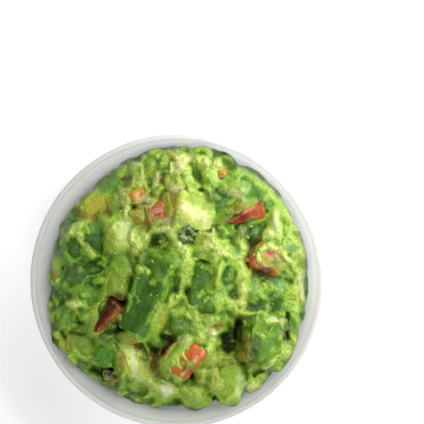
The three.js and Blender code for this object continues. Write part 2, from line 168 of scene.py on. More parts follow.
def draw(n):
    """A repeatable draw from 0 to 1 for each whole number n: the fraction of a large multiple of a sine.
    The numbers only have to be uneven, so that neighbours share nothing."""
    s = np.sin(np.asarray(n, float) * 12.9898 + 4.1414) * 43758.5453
    return s - np.floor(s)


def hashed(corner, seed):
    """A draw from 0 to 1 for each lattice corner: its three whole numbers are multiplied by large odd
    numbers and mixed bit by bit."""
    c = corner.astype(np.int64).astype(np.uint32)
    n = c[..., 0] * np.uint32(374761393) + c[..., 1] * np.uint32(668265263)
    n = n + c[..., 2] * np.uint32(2246822519) + np.uint32(seed * 974711 % 2**31)
    n = (n ^ (n >> np.uint32(13))) * np.uint32(1274126177)
    n = (n ^ (n >> np.uint32(15))) * np.uint32(2246822519)
    return (n >> np.uint32(8)).astype(float) / 2**24


def noise(points, size, seed):
    """Smooth noise from -1 to 1: draws at the corners of cubes of the given size, blended by eased
    shares."""
    place = points / size
    low = np.floor(place)
    t = smooth(place - low)
    total = np.zeros(len(points))
    for i in (0, 1):
        for j in (0, 1):
            for k in (0, 1):
                share = np.abs(1 - i - t[:, 0]) * np.abs(1 - j - t[:, 1]) * np.abs(1 - k - t[:, 2])
                total += share * hashed(low + (i, j, k), seed)
    return 2 * total - 1


def rough(points, size, seed, octaves=3):
    """Noise on noise: each octave has half the size and half the height of the one before."""
    return sum(noise(points, size / 2**o, seed + o) / 2**o for o in range(octaves))


def grains(points, size, seed):
    """Rounded grains from 0 to 1: one seed point in each cube of the lattice, and around the nearest one
    the height falls as 1 - (distance / size)^2."""
    place = points / size
    low = np.floor(place)
    nearest = np.full(len(points), 9.0)
    for i in (-1, 0, 1):
        for j in (-1, 0, 1):
            for k in (-1, 0, 1):
                corner = low + (i, j, k)
                seedling = np.stack([hashed(corner, seed + s) for s in (1, 2, 3)], axis=-1)
                gap = place - corner - seedling
                nearest = np.minimum(nearest, (gap * gap).sum(axis=1))
    return np.clip(1 - nearest, 0, 1)


# %% [markdown]
# ## Colours
#
# Avocado is cream next to the stone and deep green next to the skin. Every surface below gets a tone from
# 0, the green of the skin side, to 1, the cream of the stone side, and one scale of colours turns tones
# into tints. Cut avocado also browns, so a second number mixes in olive. A colour ramp in the shader could
# do this too, but tints kept in the mesh can be mixed with the other colours that follow.


# %% Colour scale
def linear(*rgb):
    """Linear light from a colour as a screen shows it, 0 to 255."""
    c = np.array(rgb) / 255
    return np.where(c <= 0.04045, c / 12.92, ((c + 0.055) / 1.055) ** 2.4)


TONES = [0.0, 0.22, 0.45, 0.65, 0.82, 1.0]
TONE_TINTS = np.array(
    [
        linear(44, 88, 28),
        linear(74, 125, 36),
        linear(116, 160, 45),
        linear(148, 184, 56),
        linear(181, 204, 90),
        linear(217, 222, 144),
    ]
)
OLIVE = linear(150, 128, 46)
TOMATO_RED = linear(196, 70, 34)
TOMATO_ORANGE = linear(206, 120, 52)


def tints(tone, olive=0.0):
    """Colours for tones from 0 to 1, each channel read along the scale, with olive mixed in."""
    tone = np.clip(tone, 0, 1)
    scale = np.stack([np.interp(tone, TONES, TONE_TINTS[:, c]) for c in range(3)], axis=-1)
    return mixed(scale, OLIVE, np.clip(np.broadcast_to(olive, tone.shape), 0, 1)[:, None])


print("tones:", len(TONES))

# %% [markdown]
# ## Patches of colour, painted light and painted shade
#
# Some marks have a place of their own: the cream end of a wedge, a red smear. Many others are painted light
# and shade: umber, brown, moss and deep green paint shade into gaps and onto faces turned from the light,
# such as the brown band beside the large dice, and white, cream, lemon, lime and fresh paint highlights and
# lighter greens where light falls on ridges and lumps.
# They could be painted into an image, but then every piece would need unwrapping. Here each mark is a soft
# ellipse seen from above, laid into the tints. Noise bends its outline and breaks its cover, so that no
# ellipse shows. Later rows go over earlier ones. Avocado and mash share one list, tomato has its own.

# %% Patches on avocado and mash
# umber, deep and moss mostly paint shade, and brown partly; white, cream and lemon partly paint highlights
PAINTS = {
    "cream": linear(232, 230, 168),
    "pale": linear(214, 224, 176),
    "lemon": linear(224, 238, 112),
    "white": linear(248, 250, 216),
    "yellow": linear(172, 166, 52),
    "lime": linear(150, 178, 52),
    "olive": linear(160, 148, 48),
    "brown": linear(88, 62, 24),
    "umber": linear(30, 22, 10),
    "moss": linear(86, 98, 36),
    "rust": linear(158, 82, 40),
    "orange": linear(206, 150, 40),
    "deep": linear(44, 80, 36),
    "green": linear(84, 136, 54),
    "fresh": linear(116, 170, 72),
    "crimson": linear(112, 26, 14),
    "pink": linear(222, 122, 92),
    "red": linear(192, 64, 34),
}
PATCHES = [
    # paint, share of cover, x, y, half length, half width, heading in degrees
    ("yellow", 0.75, -36, 34, 6, 4.5, 0),
    ("olive", 0.7, -39, 29, 5.5, 3, 0),
    ("green", 0.5, -30, 43, 4, 4, 0),
    ("brown", 0.8, -22.7, 45.5, 1.4, 3, 90),
    ("pale", 0.3, -23.5, 21, 3, 4.5, 0),
    ("olive", 0.25, -28.5, 20, 1.8, 6, 0),
    ("olive", 0.5, -1, 56, 4, 1.6, 5),
    ("cream", 0.4, 6, 55, 1.5, 2, 0),
    ("brown", 0.55, -6.5, 45.5, 1.8, 3, 0),
    ("yellow", 0.45, -3, 34, 5, 6, 0),
    ("olive", 0.65, -4, 34.5, 4.5, 5.5, 0),
    ("cream", 0.6, 8.5, 30, 7.5, 3.5, -35),
    ("lime", 0.7, 7.8, 36.5, 2.2, 3, 0),
    ("lime", 0.7, 13.2, 34, 1.8, 3.2, 15),
    ("olive", 0.5, 3, 27, 5, 1.5, -20),
    ("rust", 0.9, 19.8, 47, 1.2, 2, 0),
    ("deep", 0.6, 18, 37, 5, 4, 0),
    ("brown", 0.8, 34, 16.5, 3, 2, 10),
    ("deep", 0.6, 31, 21, 6, 4, -20),
    ("pale", 0.5, 43.5, 26, 1.8, 5, 0),
    ("brown", 0.8, 55, 21.5, 0.8, 1.3, 0),
    ("deep", 0.5, 47, 2.5, 3, 1.5, 0),
    ("rust", 0.4, 52, -8, 0.8, 2, 0),
    ("cream", 0.4, 41.5, -16.8, 2.5, 1.2, -15),
    ("brown", 0.75, 48.3, -24, 1.8, 4.2, 0),
    # the corner chunk's face turned from the light: olive, with moss and deep over it as painted shade
    ("olive", 0.9, 30.4, -30, 3.6, 6.5, -8),
    ("moss", 0.9, 32.8, -30.5, 2.6, 7, -8),
    ("deep", 0.6, 35.2, -29.5, 1.4, 6.5, -8),
    ("green", 0.6, 41, -28, 4, 8, -20),
    ("brown", 0.7, 22, -30, 2.5, 1.5, 0),
    ("rust", 0.45, 19, -19, 2, 1.8, 0),
    ("cream", 0.8, 16, -22, 1.6, 1.6, 0),
    # painted shade on the left of the large tomato dice
    ("olive", 0.8, -10, -37, 3.2, 5.6, 10),
    ("brown", 0.45, -9.4, -37, 2.6, 5.6, 10),
    ("brown", 0.75, -5.2, -29, 8, 1.8, 51),
    ("lemon", 0.6, -18.8, -34.5, 2.6, 7, 5),
    ("lemon", 0.45, -22.6, -31, 2, 4.5, 0),
    ("rust", 0.55, -24, -35, 1.3, 4.2, 0),
    ("brown", 0.4, -18.5, -26, 2.6, 2.8, 0),
    ("orange", 0.45, -18.5, -25.6, 1.8, 2, 0),
    ("brown", 0.7, -30, -42.5, 3.5, 2.5, 0),
    ("brown", 0.5, -44.5, -22, 4, 2, 0),
    ("olive", 0.6, -48.5, -27, 1.6, 3.5, 0),
    ("brown", 0.8, -47, 5, 1.6, 1.2, 0),
    ("orange", 0.9, -54.5, 3, 0.9, 2, 15),
    # painted glints on the pale knob
    ("white", 0.6, -4.8, -48, 2.8, 3.2, 0),
    ("olive", 0.5, 3, -50.5, 2, 2.5, 0),
    ("olive", 0.6, 6, -53.5, 1.6, 1.2, 0),
    ("olive", 0.45, -5.6, -17, 1.8, 6, 10),
    ("rust", 0.75, 32.8, 8.5, 2.6, 4.6, 20),
    ("rust", 0.8, 39.5, 4.8, 5, 2.2, -25),
    ("brown", 0.7, 35, 5.5, 2.2, 2, 0),
    ("brown", 0.7, -29, -18.8, 7.5, 1.4, 52),
    ("green", 0.5, 43.5, 0.3, 4, 1.6, 0),
    ("brown", 0.6, -24, -6.5, 3.2, 2.2, -20),
    ("green", 0.4, 25.8, 14, 1.6, 2, 0),
    ("green", 0.55, 51, 14.4, 2.4, 2, 0),
    ("deep", 0.6, -33, -43.5, 6, 3, -40),
    ("deep", 0.5, -28, -48.5, 3, 1.6, -20),
    ("deep", 0.6, -3, -55.2, 4, 1.6, 0),
    ("deep", 0.5, 17.5, -53.5, 2.4, 1.6, 0),
    # umber: painted shadow in dark gaps
    ("umber", 0.9, 27.3, -23, 2, 5.5, 5),
    ("umber", 0.7, 22.2, -25.5, 2, 2.2, 0),
    ("umber", 0.6, -26.5, -21.5, 2.4, 1.6, 20),
    ("umber", 0.6, -8, -31.2, 3, 2.2, 0),
    ("olive", 0.6, 27, 32.4, 4, 1.5, 30),
    ("green", 0.45, 1.5, 26, 4, 1.5, -20),
    ("brown", 0.4, -18.6, 31, 1.8, 3, 0),
    ("deep", 0.5, 50.6, -20.5, 1.6, 3, 0),
    # lemon and white along the lit ridge: partly cream flesh, partly a painted highlight
    ("lemon", 0.45, -21.4, -34.5, 1.2, 5, 0),
    ("white", 0.6, -18.6, -35.5, 1.4, 6.5, 6),
    ("cream", 0.5, 55.5, -3, 1.4, 5, 0),
    ("cream", 0.35, -0.5, 50.5, 3, 3, 0),
    ("rust", 0.5, 21.8, 26.6, 2.6, 1.2, 10),
    ("lime", 0.75, 26.5, 40, 5.5, 2.6, -28),
    ("pale", 0.45, 29.2, 38.5, 1.5, 2.6, 20),
    ("deep", 0.25, 19.5, 35.5, 5, 3, -20),
    ("brown", 0.7, 37.2, 34.9, 1.4, 2.2, 20),
    ("rust", 0.7, 39.5, 5.6, 3.5, 1.3, -35),
    ("olive", 0.85, 27.4, 32.6, 4, 1.5, 30),
    ("brown", 0.3, 27.4, 32.6, 3, 1.5, 30),
    ("green", 0.5, 31, 37.6, 2, 1.4, 0),
    # painted shade on the steep edge of the heap
    ("deep", 0.6, -52.5, 13.5, 1.6, 3, 0),
    ("deep", 0.6, -49, 23.5, 1.6, 3, -25),
    ("olive", 0.6, -16.8, -28.7, 2, 2, 0),
    ("umber", 0.5, -24, -5.6, 2, 1.4, -20),
    ("brown", 0.4, -18.6, 30.5, 1.8, 2.4, 0),
    ("lemon", 0.6, -16, -34, 1.8, 4.5, 0),
    ("fresh", 0.55, -35.4, -2.9, 2, 1.6, 0),
    ("lime", 0.5, -3.1, 41.6, 2, 1.4, 0),
    ("pale", 0.35, 31, -46.4, 1.8, 1.8, 0),
    ("brown", 0.9, 39.4, 5, 3.4, 1.5, -35),
    ("umber", 0.5, 36, 4.6, 2, 1.6, -35),
    ("green", 0.6, 49, 14.6, 2, 2, 0),
    ("olive", 0.8, -15.2, 28.2, 4.5, 4.5, 0),
    ("rust", 0.55, -10.5, 27, 2, 3, 0),
    ("orange", 0.45, -5, 28, 2, 2.4, 0),
    ("orange", 0.4, -17, 39, 3, 3, 0),
    ("lime", 0.6, -50, -2.2, 2, 2, 0),
    ("cream", 0.45, 24.8, 39, 3, 1.6, -20),
    ("umber", 0.4, -18.6, 30.5, 1.6, 2, 0),
    ("umber", 0.4, 47.8, -25.6, 1.4, 1.6, 0),
    ("lime", 0.6, 32.7, -16.4, 2, 1.6, 0),
    ("lime", 0.5, 2.2, -10.2, 2, 3, -30),
    ("lime", 0.6, -25.6, 35.4, 2, 3, 0),
    ("cream", 0.4, 14.2, 22.1, 3, 1.6, 0),
    ("green", 0.6, -23, -43.3, 1.6, 2.4, 0),
    ("cream", 0.4, -22.1, 51.3, 2, 1.2, 0),
    ("green", 0.5, 31, 42.5, 1.6, 1.4, 0),
    ("green", 0.5, 44, -0.6, 2, 1.6, 0),
    ("cream", 0.5, -3.1, 26.1, 2, 1.6, 0),
    ("deep", 0.5, -29.6, 12.4, 2, 1.6, 0),
    ("fresh", 0.6, 18.5, 34, 3, 2.4, 0),
    ("yellow", 0.5, -31.4, 31, 2, 2, 0),
    ("cream", 0.3, -25.2, 35.8, 2, 2.4, 0),
    ("cream", 0.35, 33.2, -16.4, 2, 1.4, 0),
    ("cream", 0.35, 24.8, -36.7, 2.4, 1.4, 0),
    ("lime", 0.5, 42, -23.4, 2, 1.6, 0),
    ("lime", 0.5, 15, 34.9, 1.6, 1.6, 0),
    ("fresh", 0.6, 34.9, -39.4, 2, 1.4, 0),
    ("fresh", 0.6, 9.7, 46, 2, 1.6, 0),
    ("olive", 0.6, 8, -43.3, 2.4, 1.6, 0),
    ("fresh", 0.6, -0.9, -4, 1.6, 2, 0),
    ("fresh", 0.35, -15.9, -1.8, 2.4, 3, -20),
    ("cream", 0.4, 46, -18.1, 1.6, 1.6, 0),
    ("deep", 0.5, 10.2, 8, 2, 1.6, 0),
    ("fresh", 0.4, -35.4, 5.7, 2, 1.6, 0),
    ("fresh", 0.5, -35.8, 25.2, 3, 1.4, 0),
    ("fresh", 0.5, 10.6, -10.6, 1.6, 2, 0),
    ("fresh", 0.5, -13.3, 2.2, 1.6, 1.6, 0),
    ("umber", 0.5, -33.2, -13.3, 1.6, 2, 20),
    ("deep", 0.5, -31.4, -24.8, 2.4, 1.6, 0),
    ("green", 0.6, 51.7, 13.7, 2, 1.6, 0),
    ("deep", 0.6, 16.8, -53.4, 1.4, 2, 0),
    ("umber", 0.6, -8.4, 17.8, 2.6, 2.2, 0),
    ("deep", 0.45, 25.5, -5, 1.8, 3, 15),
    ("cream", 0.4, -3.5, 26.2, 2, 1.6, 0),
    ("yellow", 0.6, 8.4, -43.3, 2.4, 1.6, 0),
    ("cream", 0.4, -13.7, 36.2, 1.6, 1.4, 0),
    ("deep", 0.6, -1.8, -55.6, 3, 1.4, 0),
    ("fresh", 0.6, 21.2, -13.3, 2, 2, 0),
    ("green", 0.4, 25.6, 12.8, 2, 2, 0),
    ("yellow", 0.6, -31, 31.2, 2.4, 2, 0),
    ("fresh", 0.5, 19.5, 20.3, 2, 1.6, 0),
    ("fresh", 0.5, 39.4, -34.9, 2, 1.6, 0),
    ("cream", 0.4, -2.7, -46, 1.6, 1.6, 0),
    ("cream", 0.4, 14.6, -20.3, 2, 1.6, 0),
    ("fresh", 0.45, -12.8, 8.8, 2, 2, 0),
    ("fresh", 0.45, -7.5, 3.1, 2, 2, 0),
    ("lime", 0.6, 8.4, 51.3, 2, 1.6, 0),
    ("lime", 0.6, -9.3, 50.4, 2, 1.6, 0),
    ("brown", 0.5, 48.6, -26.5, 1.6, 2, 0),
    ("deep", 0.5, 29.2, -40.2, 1.6, 2, 0),
    ("fresh", 0.5, -49.1, -3.1, 2, 1.6, 0),
    ("fresh", 0.5, -4.9, -8.4, 1.6, 2.4, 0),
    ("lime", 0.5, -11.1, 39.8, 2, 1.6, 0),
    ("olive", 0.5, 34.9, 18.1, 2, 1.4, 0),
    ("olive", 0.5, -17.2, -29.2, 2, 1.6, 0),
    ("fresh", 0.55, -39.4, 0, 2.4, 1.6, 0),
    ("lime", 0.5, -5.3, -8.4, 1.6, 2.4, -20),
    ("cream", 0.4, 0.4, 40.2, 3, 1.6, 0),
    ("cream", 0.35, -8.4, 46, 1.6, 1.6, 0),
    ("lime", 0.5, 24.8, -36.7, 2.4, 1.6, 0),
    ("cream", 0.4, -14.2, 35.8, 1.6, 1.4, 0),
    ("lime", 0.5, 48.2, -14.6, 1.6, 1.6, 0),
    ("lime", 0.5, 38.9, -34.9, 2, 1.6, 0),
    ("lime", 0.5, 5.3, -18.6, 2, 1.6, 0),
    ("fresh", 0.55, -35.8, 22.6, 2.4, 1.6, 0),
    ("brown", 0.5, 23, 30.2, 2.4, 1.6, 20),
    ("brown", 0.6, 38.5, 3.2, 5, 2, -25),
    ("brown", 0.6, -3.5, -26.6, 3, 1.2, 45),
    ("green", 0.55, 46, -1.5, 3, 2, 0),
    ("deep", 0.6, 34, -26, 2, 2.5, 0),
    ("lime", 0.6, 42.5, -31.4, 1.8, 2.4, 0),
    ("deep", 0.6, -18, -51.8, 2, 1.4, 0),
    ("green", 0.5, -33, 41, 2.4, 2, 0),
    ("brown", 0.4, 1.8, -45, 1.8, 1.4, 0),
    ("deep", 0.5, -41.5, -36.5, 3, 1.6, -35),
    ("green", 0.6, 33.4, -16.4, 2, 1.6, 0),
    ("umber", 0.6, -31, -40.7, 2.6, 1.8, 0),
    ("pale", 0.45, 27.6, -45.5, 1.6, 5.5, 0),
    ("lime", 0.6, 14.6, -3, 1.8, 2.4, 0),
    ("fresh", 0.6, -35.8, 24, 3, 2, 0),
    ("umber", 0.6, 5.2, -3, 1.4, 2.6, 0),
    ("cream", 0.35, -23.6, 25, 3, 2.4, 0),
    ("lime", 0.4, -18, -39.5, 2.6, 2.4, 0),
    ("cream", 0.4, 3, -25, 3, 2, 0),
    ("deep", 0.5, 33, -11, 3.2, 1.6, 0),
    ("green", 0.4, 32, 42, 2.4, 1.6, 0),
]
print("patches on avocado and mash:", len(PATCHES))

# %% Patches on tomato
TOMATO_PATCHES = [
    # the same columns
    ("crimson", 0.85, 28, 27.8, 4.2, 1.8, 12),
    ("pink", 0.4, 34.2, 30.8, 2.6, 4, -20),
    ("orange", 0.8, 21.5, 27.4, 2.6, 1.3, 15),
    ("olive", 0.8, 29.5, 33, 6, 1.8, 28),
    ("crimson", 0.95, -31, -13, 9, 3.2, 56),
    ("rust", 0.8, -27.5, -17, 8, 3, 56),
    ("brown", 0.6, -27, -12, 2.5, 2.5, 0),
    ("orange", 0.7, -33, -22.5, 2.5, 1.2, 50),
    ("pink", 0.55, 9, -31, 3.5, 3, -45),
    ("crimson", 0.4, 4.5, -36, 3, 2, 45),
    ("yellow", 0.8, 42.5, 10, 7, 6, -20),
    ("cream", 0.4, 46, 8.5, 1.6, 3, 30),
    ("red", 0.95, 41, 12.3, 1.8, 1.4, 0),
    ("green", 0.8, 43.6, 7.8, 2.6, 1.8, -25),
    ("rust", 0.95, 33.5, 9, 3.2, 6, 20),
    ("orange", 0.75, 36.3, 6.5, 1.4, 4, 20),
    ("red", 0.75, 39.5, 5.3, 4, 1, -30),
    ("brown", 0.8, 38.5, 3, 5, 1.5, -25),
    # painted shade on the left side of the large dice
    ("brown", 0.85, -5, -29, 9, 2.2, 51),
    ("lime", 0.95, -1.1, -32.3, 8.5, 2.6, 51),
    ("cream", 0.5, -0.6, -31.5, 7, 1, 51),
    ("rust", 0.4, -2.2, -32.8, 6, 0.5, 51),
    ("moss", 0.8, -29.5, -42.5, 6, 6, 0),
    ("olive", 0.6, -29, -44.5, 4, 1.6, 0),
    ("umber", 0.6, -29.5, -42, 3.4, 1.8, 0),
    # painted shade below the large dice
    ("deep", 0.6, -8.5, -37, 2, 3, 0),
    ("rust", 0.9, 20, 48, 2.5, 3.5, 0),
    ("brown", 0.9, 39.4, 5, 3.4, 1.5, -35),
    ("cream", 0.8, -11.3, 34, 2.4, 1.6, 0),
    ("olive", 0.5, -16.5, 28, 4, 4, 0),
    ("orange", 0.6, -16, 38, 5, 4, 0),
    ("cream", 0.55, -14, 36.6, 3, 1.4, 20),
    ("cream", 0.45, -18, 37.6, 1.4, 1.8, 0),
    ("brown", 0.7, 37.4, 34.8, 1.5, 2.4, 20),
    ("crimson", 0.6, 28.5, 28.6, 5, 1.4, 12),
    ("orange", 0.4, 33.5, 33, 2.6, 1, 40),
    ("rust", 0.55, 35.5, 31, 2, 3, 0),
    ("rust", 0.5, -8, 30.5, 4, 3.4, 0),
    # umber on the shaded wedge: painted shade
    ("umber", 0.6, -31.5, -13, 7, 3, 60),
    ("umber", 0.5, -26.5, -9.5, 3, 1.8, 0),
    ("orange", 0.3, -27, -16.5, 3.4, 1.6, 60),
    ("rust", 0.8, -12, 28.5, 2, 4, 0),
    ("orange", 0.65, 20, 48.5, 2.4, 3, 0),
    ("brown", 0.6, 19.8, 46, 1.2, 1.4, 0),
]
print("patches on tomato:", len(TOMATO_PATCHES))

# %% Painting
PATCH_EDGE = (1.45, 0.55)  # a patch fades out and is full at these shares of its half sizes
PATCH_BREAK = 0.3  # noise changes its cover by up to about this share
PATCH_BEND = 0.7  # noise moves its outline by about this many mm


def turned(dx, dy, angle):
    """Steps along x and y, seen along and across a direction: dx cos + dy sin, dy cos - dx sin."""
    c, s = math.cos(angle), math.sin(angle)
    return dx * c + dy * s, dy * c - dx * s


def painted(tint, x, y, patches):
    """Mixes the patches into a tint by place: each is an ellipse with a soft edge, bent and broken by
    noise."""
    points = np.stack([x, y, 0 * x], axis=-1)
    broken = 1 + PATCH_BREAK * rough(points, 1.6, 421, 2)
    x = x + PATCH_BEND * rough(points, 3, 411, 2)
    y = y + PATCH_BEND * rough(points, 3, 417, 2)
    for colour, share, px, py, a, b, heading in patches:
        along, across = turned(x - px, y - py, math.radians(heading))
        cover = share * broken * ease(*PATCH_EDGE, np.hypot(along / a, across / b))
        tint = mixed(tint, PAINTS[colour], np.clip(cover, 0, 1)[..., None])
    return tint


# %% [markdown]
# ## Wet food
#
# Wet avocado scatters light just under its surface and has a thin film of juice on it. Each could be a
# shader of its own, mixed with the rest, but one Principled shader already holds scatter, gloss and coat.
# Its tint comes from the mesh. A mottle and a fine bump come from noise in Object coordinates, which costs
# no points.

# %% Wet food material
COAT_ROUGHNESS = 0.08
SCATTER_COLOURS = (1.0, 1.0, 0.35)  # red and green travel further in the flesh than blue
SCATTER_DEPTH = 1.2
MOTTLE_SIZE = 1.0
FINISHES = {
    # name: roughness, specular, coat, scatter, size of the bump, its height, share of the mottle
    "wet_mash": (0.36, 0.3, 0.35, 0.2, 1.0, 0.9, 0.24),
    "cut_avocado": (0.40, 0.2, 0.12, 0.2, 1.3, 0.6, 0.18),
    "cut_tomato": (0.30, 0.4, 0.3, 0.25, 1.3, 0.3, 0.12),
    "cilantro": (0.4, 0.4, 0.2, 0.05, 0.8, 0.4, 0.25),
}


def wet_material(name, roughness, specular, coat, scatter, bump_size, bump_height, mottle):
    """A wet surface: noise mottles the "tint" attribute, and noise of its own size makes the bump."""
    material = bpy.data.materials.new(name)
    material.use_nodes = True
    nodes, links = material.node_tree.nodes, material.node_tree.links
    shader = nodes["Principled BSDF"]
    shader.inputs["Roughness"].default_value = roughness
    shader.inputs["Specular IOR Level"].default_value = specular
    shader.inputs["Coat Weight"].default_value = coat
    shader.inputs["Coat Roughness"].default_value = COAT_ROUGHNESS
    shader.inputs["Subsurface Weight"].default_value = scatter
    shader.inputs["Subsurface Radius"].default_value = SCATTER_COLOURS
    shader.inputs["Subsurface Scale"].default_value = SCATTER_DEPTH * MM
    tint = nodes.new("ShaderNodeAttribute")
    tint.attribute_name = "tint"
    place = nodes.new("ShaderNodeTexCoord")
    blotch = nodes.new("ShaderNodeTexNoise")
    blotch.inputs["Scale"].default_value = 1 / (MOTTLE_SIZE * MM)
    blotch.inputs["Detail"].default_value = 5
    links.new(place.outputs["Object"], blotch.inputs["Vector"])
    shade = nodes.new("ShaderNodeMapRange")
    shade.inputs["From Min"].default_value = 0.3
    shade.inputs["From Max"].default_value = 0.7
    shade.inputs["To Min"].default_value = 1 - mottle
    shade.inputs["To Max"].default_value = 1 + mottle
    links.new(blotch.outputs["Fac"], shade.inputs["Value"])
    mix = nodes.new("ShaderNodeMix")
    mix.data_type = "RGBA"
    mix.blend_type = "MULTIPLY"
    mix.inputs["Factor"].default_value = 1
    links.new(tint.outputs["Color"], mix.inputs["A"])
    links.new(shade.outputs["Result"], mix.inputs["B"])
    links.new(mix.outputs["Result"], shader.inputs["Base Color"])
    fine = nodes.new("ShaderNodeTexNoise")
    fine.inputs["Scale"].default_value = 1 / (bump_size * MM)
    fine.inputs["Detail"].default_value = 4
    links.new(place.outputs["Object"], fine.inputs["Vector"])
    bump = nodes.new("ShaderNodeBump")
    bump.inputs["Distance"].default_value = bump_height * MM
    bump.inputs["Strength"].default_value = 1
    links.new(fine.outputs["Fac"], bump.inputs["Height"])
    links.new(bump.outputs["Normal"], shader.inputs["Normal"])
    return material


mash_finish, flesh_finish, tomato_finish, leaf_finish = [
    wet_material(name, *values) for name, values in FINISHES.items()
]
print("finishes:", ", ".join(FINISHES))

# %% [markdown]
# ## The bowl
#
# Such a bowl is round all over, so one profile carried round the axis is the whole of it: the foot ring,
# the outside, the half-round rim and the inside. A Screw modifier could turn the same line. The lathe
# helper does, too, and leaves the inside's curve at hand, which the mash has to meet.

# %% Bowl profile
WALL_POINTS = 48
RIM_POINTS = 13
FOOT_SLOPE = 1  # the inner side of the foot ring leans in by this
FOOT_STEP = 0.4  # the wall springs from the foot this far outside it
FLOOR_RADIUS = FOOT_RADIUS - 8
FLOOR_HEIGHT = FOOT_HEIGHT + BASE_THICKNESS - 1
FLOOR_DISH = 0.2  # the middle of the floor lies this much lower
# steps from the foot and from the rim to the handles of the two curves
OUTSIDE_LOW, OUTSIDE_HIGH = (19, 3), (6, 20)
INSIDE_LOW, INSIDE_HIGH = (15, 0), (6, 19)


def bezier(start, handle_a, handle_b, end, steps):
    """Points on a cubic Bezier curve: (1-t)^3 a + 3 (1-t)^2 t b + 3 (1-t) t^2 c + t^3 d."""
    t = np.linspace(0, 1, steps)[:, None]
    weights = [(1 - t) ** 3, 3 * (1 - t) ** 2 * t, 3 * (1 - t) * t**2, t**3]
    return sum(w * np.array(p, float) for w, p in zip(weights, (start, handle_a, handle_b, end)))


outside_wall = bezier(
    (FOOT_RADIUS + FOOT_STEP, FOOT_HEIGHT),
    (FOOT_RADIUS + OUTSIDE_LOW[0], FOOT_HEIGHT + OUTSIDE_LOW[1]),
    (RIM_RADIUS - OUTSIDE_HIGH[0], BOWL_HEIGHT - OUTSIDE_HIGH[1]),
    (RIM_RADIUS, BOWL_HEIGHT - RIM_THICKNESS / 2),
    WALL_POINTS,
)
inside_wall = bezier(
    (FLOOR_RADIUS, FLOOR_HEIGHT),
    (FOOT_RADIUS + INSIDE_LOW[0], FOOT_HEIGHT + BASE_THICKNESS + INSIDE_LOW[1]),
    (RIM_RADIUS - INSIDE_HIGH[0] - WALL_THICKNESS, BOWL_HEIGHT - INSIDE_HIGH[1]),
    (RIM_RADIUS - RIM_THICKNESS, BOWL_HEIGHT - RIM_THICKNESS / 2),
    WALL_POINTS,
)


def bowl_profile():
    """(radius, height) rows: recess, foot with small bevels, outside, half-round rim, inside, floor."""
    turn = np.radians(np.linspace(0, 180, RIM_POINTS))[1:-1]
    rim = np.stack(
        [
            RIM_RADIUS - RIM_THICKNESS / 2 * (1 - np.cos(turn)),
            BOWL_HEIGHT - RIM_THICKNESS / 2 * (1 - np.sin(turn)),
        ],
        axis=-1,
    )
    foot = [
        (0, FOOT_RECESS),
        (FOOT_RADIUS - FOOT_WIDTH - FOOT_SLOPE, FOOT_RECESS),
        (FOOT_RADIUS - FOOT_WIDTH - 0.2, 0.2),
        (FOOT_RADIUS - FOOT_WIDTH + 0.3, 0),
        (FOOT_RADIUS - 0.6, 0),
        (FOOT_RADIUS - 0.1, 0.3),
        (FOOT_RADIUS, 1.0),
        (FOOT_RADIUS, FOOT_HEIGHT - 0.8),
    ]
    floor = [(FOOT_RADIUS - 20, FLOOR_HEIGHT - FLOOR_DISH), (0, FLOOR_HEIGHT - FLOOR_DISH)]
    return np.vstack([foot, outside_wall, rim, inside_wall[::-1], floor])


print("profile:", len(bowl_profile()), "rows")

# %% [markdown]
# ## The glaze
#
# The glaze is a white glass over pale clay. Light goes a little way into it, so its shadows are soft: that
# is the scatter. Over the rim the tint is darkened as painted shade, which tones down the strong light on
# its top. A second material could stand for that band, but a darker tint in the mesh fades in without a
# seam.

# %% Bowl glaze and mesh
BOWL_SIDES = 192
GLAZE_WHITE = np.array([0.72, 0.71, 0.725])
GLAZE_DEPTH = 14  # how far light travels in the glaze and the clay
RIM_SHADE = 0.3  # painted shade darkens the glaze over the rim by up to this share
SHADE_ACROSS = (4, 1.6)  # the shade starts and is full this far inside the rim's outline
SHADE_DOWN = (4, 1)  # and this far below its top

glaze = bpy.data.materials.new("white_glaze")
glaze.use_nodes = True
glaze_shader = glaze.node_tree.nodes["Principled BSDF"]
glaze_shader.inputs["Roughness"].default_value = 0.2
glaze_tint = glaze.node_tree.nodes.new("ShaderNodeAttribute")
glaze_tint.attribute_name = "tint"
glaze.node_tree.links.new(glaze_tint.outputs["Color"], glaze_shader.inputs["Base Color"])
glaze_shader.inputs["Subsurface Weight"].default_value = 1.0
glaze_shader.inputs["Subsurface Radius"].default_value = (1, 1, 1)
glaze_shader.inputs["Subsurface Scale"].default_value = GLAZE_DEPTH * MM

bowl_points, bowl_faces = lathe(bowl_profile(), BOWL_SIDES)
bowl_radius = np.hypot(bowl_points[:, 0], bowl_points[:, 1])
near_outline = ease(RIM_RADIUS - SHADE_ACROSS[0], RIM_RADIUS - SHADE_ACROSS[1], bowl_radius)
near_top = ease(BOWL_HEIGHT - SHADE_DOWN[0], BOWL_HEIGHT - SHADE_DOWN[1], bowl_points[:, 2])
# painted shade over the rim, in the tint of the bowl
bowl_tint = GLAZE_WHITE * (1 - RIM_SHADE * (near_outline * near_top)[:, None])
bowl = make_piece("bowl_glazed", bowl_points, bowl_faces, glaze, bowl_tint)
declare(bowl, "glaze", "bowl")
print("bowl:", len(bowl_points), "points")

# %% [markdown]
# ## The smooth heap
#
# A spoon leaves guacamole as a rough dome. A physics run could drop the pieces on it, but then none would
# lie where it should. Instead everything is placed against one smooth dome. It meets the wall at a radius
# that changes with direction, and its height falls from the middle by a power of the radius.

# %% Heap surface
HEAP_TOP = 66.0
HEAP_POWER = 2.4
# radius of the heap's edge in twelve directions, from +X towards +Y
HEAP_EDGE = np.array([58, 59.7, 59.5, 60.4, 57.3, 57.3, 57.5, 60.5, 57.5, 57.5, 59.1, 60.2])


